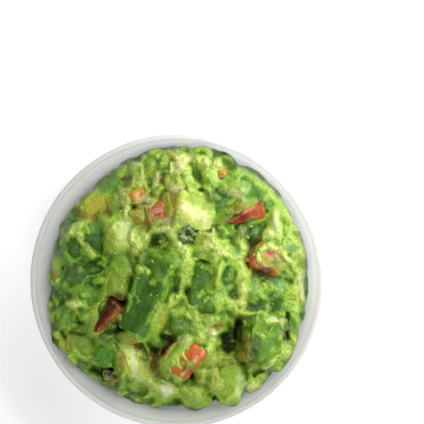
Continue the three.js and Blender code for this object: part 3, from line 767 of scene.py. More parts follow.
def heap_edge(angle):
    """Radius of the heap's edge in a direction, eased from each of the listed radii to the next."""
    turn = angle / (2 * np.pi) * len(HEAP_EDGE) % len(HEAP_EDGE)
    start = np.floor(turn).astype(int)
    one, other = HEAP_EDGE[start % len(HEAP_EDGE)], HEAP_EDGE[(start + 1) % len(HEAP_EDGE)]
    return mixed(one, other, smooth(turn - start))


def heap_height(x, y):
    """Height of the dome: foot + (top - foot) (1 - share^power), where share is the radius over the edge's
    radius in that direction, and foot is the height of the wall there."""
    edge = heap_edge(np.arctan2(y, x))
    share = np.minimum(1, np.hypot(x, y) / edge)
    foot = np.interp(edge, inside_wall[:, 0], inside_wall[:, 1])
    return foot + (HEAP_TOP - foot) * (1 - share**HEAP_POWER)


print(f"heap: {heap_height(0.0, 0.0):.1f} mm high in the middle")

# %% [markdown]
# ## Places of the cut pieces
#
# A knife leaves boxes, and mixing turns them every way. Each piece is a box that stands up to its rise over
# the smooth heap, turned by a heading, tilted about its length and pitched along it. These are the places
# of the solids too. The three short tables change single pieces: a slice that curled, two wedges that
# narrow to one end, and pieces that stand clearer of the mash than their solids do.

# %% Places of the pieces
PLACES = {
    # node: place x y, length width height, heading tilt pitch, rise over the heap, edge radius
    "avocado_cream_wedge": ((4.5, 31.5), (20, 18, 17), (-10, 0, -32), 5.4, 2.0),
    "avocado_yellow_cube": ((-35.5, 32.5), (14, 13, 12), (8, 0, 4), 3.0, 2.6),
    "avocado_shaded_block": ((-39, 17.5), (18, 16, 13), (-8, -8, 8), 3.6, 2.0),
    "avocado_curled_slice": ((-39, 2), (23, 13, 7), (-10, 0, 0), 2.6, 2.4),
    "avocado_long_slice": ((-11, -7), (38, 16, 16), (68, -22, 0), 4.6, 3.0),
    "avocado_upright_cube": ((13, -2), (20, 13, 13), (78, -10, 0), 4.4, 1.8),
    "avocado_ridge_cube": ((22, 37), (16, 13, 12), (-8, 14, 0), 4.4, 2.0),
    "avocado_rim_slab": ((34.5, 38), (20, 8.5, 10), (-40, 6, 0), 4.6, 2.0),
    "avocado_side_slab": ((44, 22), (18, 9, 9), (-68, 0, 0), 3.4, 2.4),
    "avocado_corner_chunk": ((37, -25), (24, 17, 16), (76, 24, 0), 5.0, 2.0),
    "avocado_green_face": ((44.5, -11), (13, 9, 10), (80, -8, 0), 3.6, 2.0),
    "avocado_smooth_finger": ((23.5, -44), (20, 12, 12), (82, 0, 0), 3.4, 5.0),
    "avocado_pale_knob": ((-5, -47), (12.5, 11, 10), (12, 0, 0), 3.0, 3.8),
    "avocado_lit_block": ((-20.5, -35.5), (18, 13, 13), (98, 18, 0), 4.0, 4.4),
    "avocado_split_cube": ((-32, -31.5), (12, 10, 10), (60, 12, 0), 2.6, 2.0),
    "avocado_edge_cube": ((-43, -27.5), (13, 12, 11), (-6, 0, 0), 2.4, 2.8),
    "avocado_side_wedge": ((-37, -9.5), (16, 11, 9), (-16, 0, 5), 3.0, 2.0),
    "avocado_small_facet": ((-25.5, -0.5), (13, 9, 10), (80, -8, 0), 3.6, 1.6),
    "avocado_left_dice": ((-47, -17), (9, 9, 8), (30, 0, 0), 2.4, 2.0),
    "avocado_round_knob": ((-24.5, 20), (14, 12, 12), (96, 0, 0), 4.4, 5.0),
    "tomato_large_dice": ((4, -33), (16, 13, 11), (47, -22, 0), 6.0, 1.2),
    "tomato_wedge": ((30.5, 29.8), (16, 8, 8), (20, 20, -12), 5.8, 1.4),
    "tomato_coated_dice": ((40, 9.5), (14, 12, 10), (-28, -8, 0), 4.4, 2.0),
    "tomato_shaded_wedge": ((-29.5, -16), (16, 8, 9), (56, -26, 0), 4.4, 1.4),
    "tomato_small_dice": ((-8.5, 30), (8, 8, 8), (20, 10, 0), 5.2, 1.2),
    "tomato_dull_dice": ((-16.5, 37.5), (9, 9, 8), (40, 0, 0), 4.2, 2.0),
    "tomato_brown_dice": ((-16.5, 28.5), (7, 7.5, 7), (10, 0, 0), 3.8, 1.8),
    "tomato_sunk_bit": ((-22.5, 45.5), (4.5, 7, 6), (-10, 0, 0), 2.6, 1.4),
    "tomato_edge_bit": ((-29.5, -42.5), (8, 7, 7), (-8, 0, 0), 2.4, 1.6),
    "tomato_far_bit": ((19.5, 47.8), (4, 5.5, 6), (10, 0, 0), 2.8, 1.2),
}
BOW = {"avocado_curled_slice": 3.4}  # mm between the middle of the slice and its lifted ends
# share by which one end of a wedge is wider than its middle, and the other narrower
WEDGE = {"tomato_wedge": 0.65, "tomato_shaded_wedge": 0.7}
PROUD = {
    # mm by which a piece stands higher than its solid
    "avocado_smooth_finger": 2.2,
    "avocado_pale_knob": 1.6,
    "avocado_lit_block": 1.0,
    "avocado_round_knob": 1.6,
    "avocado_edge_cube": 1.0,
    "avocado_rim_slab": 1.0,
    "avocado_corner_chunk": 1.0,
    **{node: 0.8 for node in PLACES if node.startswith("tomato")},
    "tomato_large_dice": 1.2,
}
SEEDS = {node: 3 * number for number, node in enumerate(PLACES, 1)}  # where each piece's draws start
print("pieces:", len(PLACES))

# %% [markdown]
# ## Looks of the cut pieces
#
# One dice is cream, the next is nearly bottle green, depending on how far from the stone it was cut. Some
# are smeared with mash, and some have mash pressed up against them. Each piece could have a material of its
# own. A few numbers a piece say the same, and all of them keep one finish.

# %% Looks of the pieces
AVOCADO_LOOKS = {
    # node: tone of the top, tone of the sides, share of olive, share smeared, share bordered by mash
    "avocado_cream_wedge": (0.82, 0.74, 0.62, 0.12, 0.3),
    "avocado_yellow_cube": (0.60, 0.35, 0.45, 0.20, 0.6),
    "avocado_shaded_block": (0.06, 0.20, 0.05, 0.10, 0.6),
    "avocado_curled_slice": (0.05, 0.40, 0.05, 0.10, 0.5),
    "avocado_long_slice": (0.08, 0.45, 0.05, 0.08, 0.5),
    "avocado_upright_cube": (0.16, 0.25, 0.05, 0.12, 0.4),
    "avocado_ridge_cube": (0.20, 0.55, 0.05, 0.35, 0.7),
    "avocado_rim_slab": (0.30, 0.45, 0.0, 0.15, 0.3),
    "avocado_side_slab": (0.55, 0.50, 0.0, 0.50, 0.8),
    "avocado_corner_chunk": (0.32, 0.22, 0.1, 0.12, 0.4),
    "avocado_green_face": (0.20, 0.25, 0.0, 0.30, 0.8),
    "avocado_smooth_finger": (0.60, 0.42, 0.05, 0.10, 0.05),
    "avocado_pale_knob": (0.76, 0.56, 0.0, 0.15, 0.15),
    "avocado_lit_block": (0.84, 0.60, 0.10, 0.10, 0.4),
    "avocado_split_cube": (0.24, 0.24, 0.0, 0.30, 0.3),
    "avocado_edge_cube": (0.42, 0.30, 0.15, 0.12, 0.3),
    "avocado_side_wedge": (0.25, 0.30, 0.0, 0.35, 0.8),
    "avocado_small_facet": (0.45, 0.35, 0.3, 0.15, 0.7),
    "avocado_left_dice": (0.30, 0.30, 0.0, 0.30, 0.8),
    "avocado_round_knob": (0.82, 0.62, 0.0, 0.08, 0.05),
}
CLEAN_TOPS = ["avocado_cream_wedge"]  # their olive is on the sides only
TOMATO_LOOKS = {
    # node: brightness of the red, share of orange, share smeared, share bordered by mash
    "tomato_large_dice": (1.15, 0.4, 0.05, 0.15),
    "tomato_wedge": (0.8, 0.4, 0.0, 0.1),
    "tomato_coated_dice": (0.8, 0.7, 0.05, 0.3),
    # the shaded wedge's low brightness is painted shade, as it lies in shadow
    "tomato_shaded_wedge": (0.4, 0.4, 0.04, 0.2),
    "tomato_small_dice": (0.95, 0.5, 0.05, 0.1),
    "tomato_dull_dice": (0.95, 1.0, 0.20, 0.15),
    "tomato_brown_dice": (0.7, 0.9, 0.20, 0.2),
    "tomato_sunk_bit": (0.5, 0.6, 0.40, 0.8),
    "tomato_edge_bit": (0.4, 0.9, 0.10, 0.1),
    "tomato_far_bit": (0.6, 0.9, 0.10, 0.3),
}
print("looks:", len(AVOCADO_LOOKS), "avocado,", len(TOMATO_LOOKS), "tomato")

# %% [markdown]
# ## The shape of a cut piece
#
# Fresh from the knife the faces are flat. Stirring rounds the edges and dents the faces. A cube with a
# Bevel modifier would be rounded the same all along. Here the points of a fine cube are moved by a
# formula, and the radius changes along the edges.


# %% Shape of a piece
CUBE_SQUARES = 30
FACE_SWELL = 0.3
WEDGE_MIDDLE = 0.68  # the middle of a wedge has this share of its full width


def turning(heading, tilt, pitch):
    """The rotation that tilts about the length, then pitches, then turns to the heading, as a matrix."""
    h, t, p = np.radians([heading, tilt, -pitch])
    about_z = np.array([[np.cos(h), -np.sin(h), 0], [np.sin(h), np.cos(h), 0], [0, 0, 1]])
    about_y = np.array([[np.cos(p), 0, np.sin(p)], [0, 1, 0], [-np.sin(p), 0, np.cos(p)]])
    about_x = np.array([[1, 0, 0], [0, np.cos(t), -np.sin(t)], [0, np.sin(t), np.cos(t)]])
    return about_z @ about_y @ about_x


def unit_cube(n):
    """Points on the faces of a cube from -1 to 1, n squares a side, with the faces' shared points
    merged."""
    t = np.linspace(-1, 1, n + 1)
    u, v = [a.ravel() for a in np.meshgrid(t, t, indexing="ij")]
    one = np.ones_like(u)
    sides = [(one, u, v), (-one, v, u), (v, one, u), (u, -one, v), (u, v, one), (v, u, -one)]
    points = np.vstack([np.stack(s, axis=-1) for s in sides])
    i, j = [a.ravel() for a in np.meshgrid(np.arange(n), np.arange(n), indexing="ij")]
    first = i * (n + 1) + j
    square = np.stack([first, first + n + 1, first + n + 2, first + 1], axis=-1)
    quads = np.vstack([square + k * (n + 1) ** 2 for k in range(6)])
    places, merged = np.unique(np.round(points, 6), axis=0, return_inverse=True)
    return places, merged.ravel()[quads]


CUBE_POINTS, CUBE_QUADS = unit_cube(CUBE_SQUARES)


def rounded_box(size, edge, bow, wedge, seed):
    """A box whose edges are rounded: each point is drawn in to the box smaller by the radius, then pushed
    out by the radius, which changes along the edges. Three sines swell the faces, bow lifts both ends,
    wedge narrows one end of the length. Returns the points and their outward directions."""
    half = np.array(size) / 2
    radius = edge * (1.4 + 0.6 * rough(CUBE_POINTS * half, 6, seed))[:, None]
    radius = np.minimum(radius, 0.9 * half.min())
    spread = CUBE_POINTS * half
    inner = np.clip(spread, -(half - radius), half - radius)
    out = spread - inner
    out /= np.linalg.norm(out, axis=1, keepdims=True)
    points = inner + radius * out
    phase = 2 * np.pi * draw(seed + np.array([0, 7, 13]))
    waves = np.sin(CUBE_POINTS * (2.1, 2.4, 2.7) + phase).sum(axis=1)
    length = np.linalg.norm(points, axis=1, keepdims=True)
    points = points * (1 + FACE_SWELL * waves[:, None] / length)
    if wedge:
        narrow = WEDGE_MIDDLE * (1 + wedge * points[:, 0] / half[0])
        points[:, 1] *= narrow
        points[:, 2] = half[2] - (half[2] - points[:, 2]) * narrow
    points[:, 2] += bow * ((points[:, 0] / half[0]) ** 2 - 1 / 3)
    return points, out


def place_of(at, size, rise):
    """Centre of a piece whose top stands rise over the smooth heap."""
    return np.array([at[0], at[1], heap_height(*np.array(at, float)) + rise - size[2] / 2])


def cut_piece(node, smear_share):
    """The points of a piece with its dents and its smears of mash, and for each point how much it is
    smeared, how near to an edge it is and how much it looks up."""
    at, size, turn, rise, edge = PLACES[node]
    seed = SEEDS[node]
    local, out = rounded_box(size, edge, BOW.get(node, 0), WEDGE.get(node, 0), seed)
    matrix = turning(*turn)
    points = local @ matrix.T + place_of(at, size, rise + PROUD.get(node, 0))
    normal = out @ matrix.T
    rim = ease(0.78, 1.0, np.sort(np.abs(local) / (np.array(size) / 2), axis=1)[:, 1])
    patches = 0.5 + 0.5 * rough(points, 5, seed + 11) + 0.3 * rim
    smear = ease(1 - smear_share - 0.12, 1 - smear_share + 0.08, patches)
    dents = 1.0 * rough(points, 7, seed + 3, 3) + 0.15 * noise(points, 1.5, seed + 4)
    chips = 0.5 * rim * grains(points, 3, seed + 6)
    coat = smear * (0.2 + 0.35 * grains(points, 1.8, seed) + 0.25 * grains(points, 1.0, seed + 1))
    return points + normal * (dents - chips + coat)[:, None], smear, rim, ease(0.2, 0.9, out[:, 2])


print("cube:", len(CUBE_POINTS), "points,", len(CUBE_QUADS), "squares")

# %% [markdown]
# ## Avocado
#
# A cut face is one tone with faint streaks, and crushed edges are paler. The top takes one tone and the
# sides another. Smears take the tone of mash, and the patches come last. All of it is tint in the mesh,
# so that one finish serves all twenty pieces.

# %% Make the avocado
for node, (top, side, olive, smeared, _) in AVOCADO_LOOKS.items():
    seed = SEEDS[node]
    points, smear, rim, upward = cut_piece(node, smeared)
    streaks = rough(points * (1, 1, 2.5), 4, seed + 5)
    pale_edge = 0.18 * rim * (1 - top) * ease(-0.4, 0.4, rough(points, 5, 9))
    tone = side + (top - side) * upward + 0.09 * streaks + pale_edge
    browned = olive * (1 - upward) if node in CLEAN_TOPS else olive
    coated = 0.55 + 0.2 * rough(points, 3, seed + 8) + 0.25 * (grains(points, 1.2, seed + 1) - 0.5)
    tint = mixed(tints(tone, browned), tints(coated), smear[:, None])
    tint = painted(tint, points[:, 0], points[:, 1], PATCHES)
    piece = make_piece(node + "_cut", points, [CUBE_QUADS], flesh_finish, tint)
    declare(piece, "avocado_yellow" if top > 0.5 else "avocado_green", node)
print("avocado pieces:", len(AVOCADO_LOOKS))

# %% [markdown]
# ## Tomato
#
# Tomato in guacamole goes from red to orange, most of all at its edges, and a green film of avocado lies on
# it in spots. The shape is the same rounded box. Only the colours are mixed in another way.

# %% Make the tomato
FILM_TONE = 0.62
for node, (bright, orange, smeared, _) in TOMATO_LOOKS.items():
    seed = SEEDS[node]
    points, smear, rim, upward = cut_piece(node, smeared)
    faded = np.clip(orange + 0.5 * rough(points, 3, seed + 2) + 0.3 * rim, 0, 1)[:, None]
    red = mixed(TOMATO_RED, TOMATO_ORANGE, faded) * bright
    film = 0.6 * orange * ease(0.0, 0.5, rough(points, 1.8, seed + 6, 2))[:, None]
    red = mixed(red, tints(np.full(len(points), FILM_TONE)), film)
    coated = tints(0.6 + 0.2 * rough(points, 2.5, seed + 9))
    tint = mixed(red, coated, smear[:, None])
    tint = painted(tint, points[:, 0], points[:, 1], TOMATO_PATCHES)
    piece = make_piece(node + "_cut", points, [CUBE_QUADS], tomato_finish, tint)
    declare(piece, "tomato", node)
print("tomato pieces:", len(TOMATO_LOOKS))

# %% [markdown]
# ## The mash
#
# Mashed avocado is curdled: lumps of all sizes with gaps between them. Metaballs or a remesh could join
# lumps, but they cost much and drift from their places. Here the mash is one height over each place of a
# fine grid, which is built up step by step: curds, lobes, the borders of the pieces, hollows, strokes and
# at last the grain. A second grid holds the tone.


# %% Grid of the mash
CELL = 0.25
SPAN = 62.0
NOWHERE = -1e3  # a height that lies below everything
ticks = np.arange(-SPAN, SPAN + CELL / 2, CELL)
grid_x, grid_y = np.meshgrid(ticks, ticks, indexing="ij")
grid_radius = np.hypot(grid_x, grid_y)
SIDE = len(ticks)


def flat_points(height=0.0):
    """The grid's places as rows of points."""
    level = np.broadcast_to(height, grid_x.shape)
    return np.stack([grid_x.ravel(), grid_y.ravel(), level.ravel()], axis=-1)


def on_grid(pattern, *args):
    """A noise pattern over the grid."""
    return pattern(flat_points(), *args).reshape(grid_x.shape)


def blurred(field, radius):
    """The field smoothed by a bell curve of that radius, as a product of spectra."""
    wave = np.fft.fftfreq(2 * SIDE, CELL)
    bell = np.exp(-2 * (np.pi * radius * wave) ** 2)
    padded = np.pad(field, ((0, SIDE), (0, SIDE)), mode="symmetric")
    return np.fft.ifft2(np.fft.fft2(padded) * bell[:, None] * bell[None, :]).real[:SIDE, :SIDE]


def window(at, reach):
    """The part of the grid within reach of a place, as two slices."""
    low = [max(0, int((c - reach + SPAN) / CELL)) for c in at]
    high = [min(SIDE, int((c + reach + SPAN) / CELL) + 2) for c in at]
    return slice(low[0], high[0]), slice(low[1], high[1])


def joined(one, other, width):
    """The higher of two surfaces, rounded where they meet: max + gap^2 / (4 width), where gap is what the
    width exceeds their distance by."""
    gap = np.clip(width - np.abs(one - other), 0, None)
    return np.maximum(one, other) + gap * gap / (4 * width)


print("grid:", SIDE, "by", SIDE, "places")

# %% [markdown]
# ## Curds
#
# The ground under everything is a field of curds. A golden angle spreads them evenly without rows, as it
# does seeds in a sunflower. Each is an ellipsoid with a boxy outline, and noise bends all outlines, because
# crushed avocado breaks along its own grain. The rim of the heap is scalloped by larger grains.

# %% Curds
CURD_COUNT = 300
CURD_REACH = 60
CURD_POWER = 2.3  # 2 would be an ellipse, more is boxier
CORE_DROP = 2.0  # between the curds the ground lies this far below the smooth heap
EDGE_RING = 40  # the pattern of the heap's edge is read along a circle of this radius
EDGE_GRAIN, EDGE_SEED = 5, 6
GOLDEN_ANGLE = math.pi * (3 - math.sqrt(5))


def curd_rows():
    """Curds on a golden-angle spiral, whose sizes and turns are drawn: x, y, half sizes, heading, height of
    the middle, tone."""
    i = np.arange(CURD_COUNT)
    radius = CURD_REACH * np.sqrt((i + 0.5) / CURD_COUNT)
    x, y = radius * np.cos(i * GOLDEN_ANGLE), radius * np.sin(i * GOLDEN_ANGLE)
    length = 5.5 + 8.0 * draw(i + 1000) ** 2
    width = length * (0.55 + 0.4 * draw(i + 2000))
    height = 2.0 + 0.35 * length
    rise = -0.6 + 2.6 * draw(i + 5000)
    tone = 0.6 + 0.3 * (draw(i + 6000) - 0.5)
    heading = 2 * np.pi * draw(i + 4000)
    base = heap_height(x, y) + rise - height / 2
    return np.stack([x, y, length / 2, width / 2, height / 2, heading, base, tone], axis=-1)


heap = heap_height(grid_x, grid_y)
edge_ring = EDGE_RING * flat_points() / (grid_radius.reshape(-1, 1) + 1e-6)
scallop = grains(edge_ring, EDGE_GRAIN, EDGE_SEED).reshape(grid_x.shape)
edge_lift = (2.0 + 2.5 * scallop) * ease(44, 56, grid_radius)
height = heap - CORE_DROP + 0.9 * on_grid(rough, 9, 21) + edge_lift
tone = 0.5 + 0.1 * on_grid(rough, 10, 22)
bent_x = grid_x + 1.3 * on_grid(rough, 8, 31, 2)
bent_y = grid_y + 1.3 * on_grid(rough, 8, 37, 2)
join = 0.4 + 1.0 * ease(-0.5, 0.7, on_grid(rough, 11, 41, 2))
for px, py, a, b, c, heading, base, curd_tone in curd_rows():
    part = window((px, py), 1.1 * a + 2.5)
    along, across = turned(bent_x[part] - px, bent_y[part] - py, heading)
    left = 1 - np.abs(along / a) ** CURD_POWER - np.abs(across / b) ** CURD_POWER
    top = base + edge_lift[part] + c * np.clip(left, 0, None) ** (1 / CURD_POWER)
    curd, ground = np.where(left > 0, top, NOWHERE), height[part]
    height[part] = joined(curd, ground, join[part])
    tone[part] = mixed(tone[part], curd_tone, ease(-0.4, 0.6, curd - ground))
print("curds:", CURD_COUNT)

# %% [markdown]
# ## Lobes
#
# The larger lumps and the low flat floors between them have places of their own. A row makes one lobe: an
# ellipse whose height falls from its middle by a power of the radius. The power 2 makes a dome,
# a higher one a flat top, a lower one a cone. Low lobes go in before the borders of the pieces, and high
# ones after them, because they lie on pieces. Sculpting by hand would be quick but hard to change.

# %% Table of lobes
LOBES = [
    # x, y, half length, half width, heading, lift over the heap, tone,
    # then the power of the fall if it isn't 2, and the slope along x and y if there is one
    # upper left
    (-46.5, 28.5, 3.5, 2.2, 50, 0.6, 0.22, 3),
    (-30, 43.5, 5.5, 3.2, 38, 1, 0.33),
    (-27.6, 34.5, 5.5, 3, 98, 1.8, 0.6),
    (-27.5, 29.5, 3, 1.8, 90, 1.8, 0.48),
    (-48.7, 14, 4.5, 1.8, 80, 1.2, 0.42),
    (-45.5, 22.3, 5.5, 2.6, 38, 6, 0.64),
    (-43, 21, 2.8, 1.5, -35, 6.6, 0.72),
    (-39, 13.8, 5.2, 2.3, -48, 6.4, 0.7),
    (-33, 10.8, 2.2, 1, -25, 4.2, 0.6),
    (-15.5, 12.8, 2.8, 2.3, 90, 2.6, 0.62),
    (-17.7, 17, 5, 3, 95, 3.6, 0.7),
    (-13, 20, 3, 2.5, 60, 3.6, 0.74),
    (-23, 38, 4.5, 2.5, 100, 3.2, 0.66),
    (-22.3, 31, 4, 2.1, 82, 3.8, 0.72),
    (-25.7, 47.5, 2.8, 1.7, 100, 1.8, 0.6),
    (-19, 47.3, 5.5, 2.9, 95, 2.6, 0.5),
    (-18.3, 51.8, 3.2, 1.3, -20, 3.2, 0.78),
    (-15.7, 47.5, 4.8, 1.1, -80, 3.4, 0.74),
    (-39.4, 22.5, 2.6, 1.6, -30, 6.2, 0.6),
    (-20.3, 20.3, 3.4, 1.6, 90, 5.2, 0.76),
    # top
    (-8.8, 54.8, 4, 2, 15, 2.6, 0.66),
    (-8.8, 40.7, 3.5, 2.4, 60, 4.3, 0.62),
    (-2.5, 49.5, 3, 2.4, 90, 3.6, 0.72),
    (-0.6, 41.2, 4.5, 2.4, -8, 5.8, 0.8),
    (-10.6, 43, 2.6, 2.2, 90, 4.2, 0.66),
    (-6.2, 49, 2.2, 2.6, 90, 3.4, 0.62),
    (-11.5, 51, 4.2, 3.1, 80, 1.8, 0.5),
    (-6, 52.5, 3.8, 2.5, 85, 2, 0.56),
    (0, 55.3, 5.5, 2, 3, 1.8, 0.66),
    (-3.5, 43, 2.8, 2.4, 90, 3.4, 0.66),
    (-4.5, 33.5, 6, 3, 95, 5.6, 0.44, 4, 0.45, 0),
    (15, 38.3, 5, 2.2, -40, 6.4, 0.6),
    (-8.7, 46, 2.4, 1.5, 75, 3.4, 0.8),
    (-11.3, 35.1, 3.6, 2.3, -15, 5.6, 0.74),
    (-9, 22.8, 4.2, 1.8, 0, 3.4, 0.66),
    (-4.6, 23, 2.8, 2, 0, 4.4, 0.8),
    (8.3, 49.5, 3, 2.4, 0, 1.4, 0.42),
    (1.5, 46.5, 3.4, 3, 90, 2.6, 0.58),
    (5.5, 46.5, 4, 1.4, 110, 3.2, 0.7),
    (2, 51.8, 4, 2.8, 20, 3, 0.86),
    (9.8, 54, 3.4, 2.4, 10, 2.2, 0.66),
    (13.2, 46, 5.5, 3, 80, 3, 0.58),
    (13, 53, 2.3, 2, 0, 2.6, 0.76),
    (18.3, 51.3, 3.2, 2.9, 0, 3, 0.76),
    (17, 47, 3.5, 1.2, 90, 3.2, 0.72),
    # upper right
    (28, 47.3, 5.2, 2.9, -28, 2.4, 0.56, 3),
    (36, 42.8, 6.5, 3, -42, 2.2, 0.52, 3, 0.1, 0.1),
    (41.5, 38.5, 4.8, 1.5, -52, 2.6, 0.6),
    (19, 37, 5, 4.5, 0, 2, 0.13, 4, -0.15, 0.1),
    (25.3, 40.6, 5.5, 2.4, -22, 5.4, 0.7),
    (-35.5, 25.4, 4, 1.6, 0, 3.6, 0.5),
    (22, 34.4, 1.4, 1.1, 0, 3.4, 0.6),
    (28.5, 34.2, 4, 1.9, 25, 4.6, 0.56),
    (39, 31, 5.5, 2, 95, 1.4, 0.36, 3),
    (49, 28.5, 5.5, 3.2, -52, 2.2, 0.6),
    (44, 25, 7.5, 2.5, 95, 4.6, 0.7),
    (53.3, 23, 4, 2.4, -65, 2.2, 0.62),
    (46.5, 17, 4.2, 2.8, -30, 3.2, 0.74),
    (51.5, 17.5, 4.2, 2.6, 85, 2.2, 0.5),
    (56, 13, 6.5, 2.4, 95, 2.4, 0.62),
    (55.5, 6, 2.6, 2.4, 0, 2, 0.48),
    (23.5, 22.3, 3.4, 2.8, -10, 2, 0.2, 4, 0.15, -0.1),
    (33.5, 21, 4.2, 3, 60, 1.8, 0.2, 3, 0.2, 0),
    (28.2, 21.8, 3.6, 2, 70, 4.6, 0.7),
    (25.8, 23.8, 3, 1.6, 10, 3.8, 0.56),
    (20, 21.7, 3, 1.9, -20, 4, 0.6),
    (40.3, 20.2, 3.2, 2.8, 80, 4.6, 0.72),
    (28, 16.5, 5, 2.5, 95, 3.2, 0.66),
    (29, 10.5, 3.6, 1.8, 80, 3, 0.7),
    (50, 8.5, 4.5, 2, -40, 3.2, 0.72),
    (37.5, 13.8, 3.2, 1.6, 60, 4.6, 0.78),
    (42.5, 14.8, 3.5, 1.5, -15, 4.6, 0.76),
    (47, 10.5, 3, 1.4, -50, 4.6, 0.72),
    (36, 9.5, 3.2, 1.3, 95, 4.6, 0.7),
    (53.5, 0.5, 5.5, 2.2, -85, 2.6, 0.72),
    # left
    (-38.5, -5, 7, 3.8, -10, 2.2, 0.27, 4, 0.05, 0.1),
    (-53.2, -7.5, 5.5, 2.4, 95, 1.2, 0.4),
    (-53.2, 6.8, 3.6, 1.7, 92, 3.2, 0.7),
    (-51, -0.5, 4.5, 1.4, -62, 3.4, 0.7),
    (-46.5, -4.2, 3.5, 1.1, -15, 3.2, 0.58),
    (-50, -16, 6, 4.5, 70, 1.6, 0.42),
    (-48.5, -20.3, 4, 1.2, 25, 2, 0.6),
    (-45, -10.5, 3.6, 1.9, 0, 4.6, 0.74),
    (-40.2, -15, 3.5, 1.9, 12, 3.6, 0.72),
    (-36.8, -19, 4.2, 1.9, 75, 2.4, 0.55),
    (-36.8, -9.5, 3.4, 1.4, 40, 3.4, 0.56),
    (-34.9, 0.4, 3, 1.5, 20, 4.6, 0.44),
    # lower left
    (-42, -21.5, 5, 2, 12, 0.6, 0.3, 3, 0, 0.2),
    (-33, -27, 4, 3.2, 20, 1.6, 0.24, 4, 0.2, 0),
    (-34, -36.5, 5, 3.5, -35, 1.2, 0.27, 4),
    (-29.3, -30.8, 4.2, 1.7, -50, 2.8, 0.5, 3),
    (-24, -45.5, 4.5, 1.5, 95, 1.4, 0.52),
    (-19, -47, 3.2, 2.8, 0, 1.4, 0.38),
    (-13.2, -51.5, 2.1, 1.4, 0, 1.8, 0.68),
    (-17.3, -41, 4.2, 4, -60, 3.4, 0.68),
    (-11.5, -45, 4.5, 3, -35, 3.2, 0.66),
    (-23.8, -28.7, 3.4, 2.1, 5, 4.2, 0.74),
    (-11, -27, 5, 2.8, 10, 2.2, 0.18, 2, 0, 0.2),
    (-16.8, -28.4, 2.6, 2.2, 0, 3.6, 0.5),
    # centre
    (-25, 7, 6.5, 5, 90, 1.6, 0.33, 4, 0, 0.05),
    (-10, 9, 7, 4.5, 0, 3, 0.16, 4, -0.1, 0.1),
    (-17.5, -4, 9, 4, 75, 3.4, 0.15, 4, 0.1, 0),
    (-14, 4.6, 2.7, 1.6, -35, 7, 0.7),
    (-2.5, 13, 3.5, 2.5, 90, 2, 0.5),
    (0.5, 17, 2.5, 1.8, 60, 3.2, 0.7),
    (4.5, 10, 7, 3.2, 95, 4.2, 0.62),
    (3.2, -0.5, 4, 2, 75, 4.2, 0.66),
    (0.8, -6.5, 4.5, 1.8, 55, 4.4, 0.66),
    (-7.6, -16.5, 9, 3.7, 68, 4.8, 0.58, 4, -0.6, 0.24),
    (23, 3, 5.5, 3, 80, 2.6, 0.24, 3, 0.2, 0),
    (16, 17, 8, 4, 0, 4.2, 0.62),
    (24, 11.5, 6.5, 4.2, -48, 4.4, 0.58),
    (28.7, 3, 6.5, 3.4, -72, 4.2, 0.64),
    (29, -4, 4, 3, -85, 3.4, 0.7),
    (18.7, 3, 5.5, 1.5, 85, 5.6, 0.64),
    (-0.5, -13.5, 3.6, 2.6, 0, 2.8, 0.46),
    (-3.2, -8.5, 4.5, 1.9, 60, 5.8, 0.66),
    (5.3, -15, 3, 2.1, -30, 4.2, 0.66),
    (25, -36.7, 3.2, 2.4, 0, 3.4, 0.62),
    (40.2, -35.8, 3.6, 2.2, 35, 4.6, 0.7),
    (8, -14.2, 3.2, 2.6, -40, 3.4, 0.72),
    (2, -19.5, 4.2, 2.6, -10, 1.6, 0.24, 3),
    (8.5, -20, 4.5, 2.8, -20, 2.4, 0.5),
    (22.5, -3, 3.5, 1.6, 40, 2.4, 0.3),
    (17, -10, 4.2, 3, -75, 4, 0.68),
    (21.8, -9, 4, 1.6, -75, 3, 0.5),
    (27.6, -9.3, 3.6, 2.6, -5, 3.4, 0.66, 1.2),
    (21, -16.5, 4, 3, -40, 2, 0.5),
    (15, -16.5, 5, 2.6, -10, 2.8, 0.58),
    (15.3, -27, 2.6, 2.6, 0, 3.4, 0.64),
    (15.7, -22.5, 2.6, 2.2, 0, 4.2, 0.84),
    (10.5, -24, 3, 1.8, -30, 3.4, 0.68),
    (20, 12, 4, 2.6, -20, 4.4, 0.74),
    (-1, 20.8, 2.6, 2, 40, 3.6, 0.64),
    (-16.6, 4.9, 2.4, 1.8, -40, 5.6, 0.6),
    # lower right
    (55.5, -4.5, 5.5, 1.7, 88, 3.6, 0.82),
    (48.5, 2.8, 4, 2.6, -30, 3, 0.58),
    (44, -0.6, 3, 1.6, 0, 1.6, 0.36),
    (56, 2.5, 3.5, 1.6, 88, 3.2, 0.76),
    (46.5, -3.5, 3.8, 3.2, 60, 2.8, 0.6),
    (41, -3, 5, 3, -10, 3, 0.6),
    (52.3, -6.5, 5.5, 2.6, 88, 2.4, 0.7),
    (34.6, -7, 5, 2.2, -86, 2.2, 0.2, 3),
    (37, -5.5, 4.5, 1.2, -55, 3, 0.4),
    (53.2, -17.5, 5, 2.6, 85, 2, 0.46),
    (52.8, -13, 2.5, 2.2, 0, 2.6, 0.62),
    (48.8, -9.5, 6, 1.5, 85, 3.6, 0.52),
    (31, -13.6, 7, 1.5, -3, 4.4, 0.58),
    (48.3, -30, 5.5, 2.8, 85, 2.4, 0.66),
    (45.5, -36.5, 3.5, 2.8, 40, 2.2, 0.66),
    (34, -47, 4.8, 3.2, 20, 3.6, 0.74),
    (38, -42.8, 3.4, 2.2, 35, 2.4, 0.62),
    (33.5, -39.3, 4.5, 1.5, 20, 3.4, 0.58),
    (21, -35, 5, 3, 0, 2.4, 0.56),
    (15.5, -34.5, 4.5, 3.2, 80, 2.8, 0.6),
    (16.3, -43, 6, 2.9, 88, 3.2, 0.64),
    (11, -41, 4.2, 2.8, 88, 3, 0.66),
    (3, -46.8, 2.6, 2.2, 0, 1.6, 0.5),
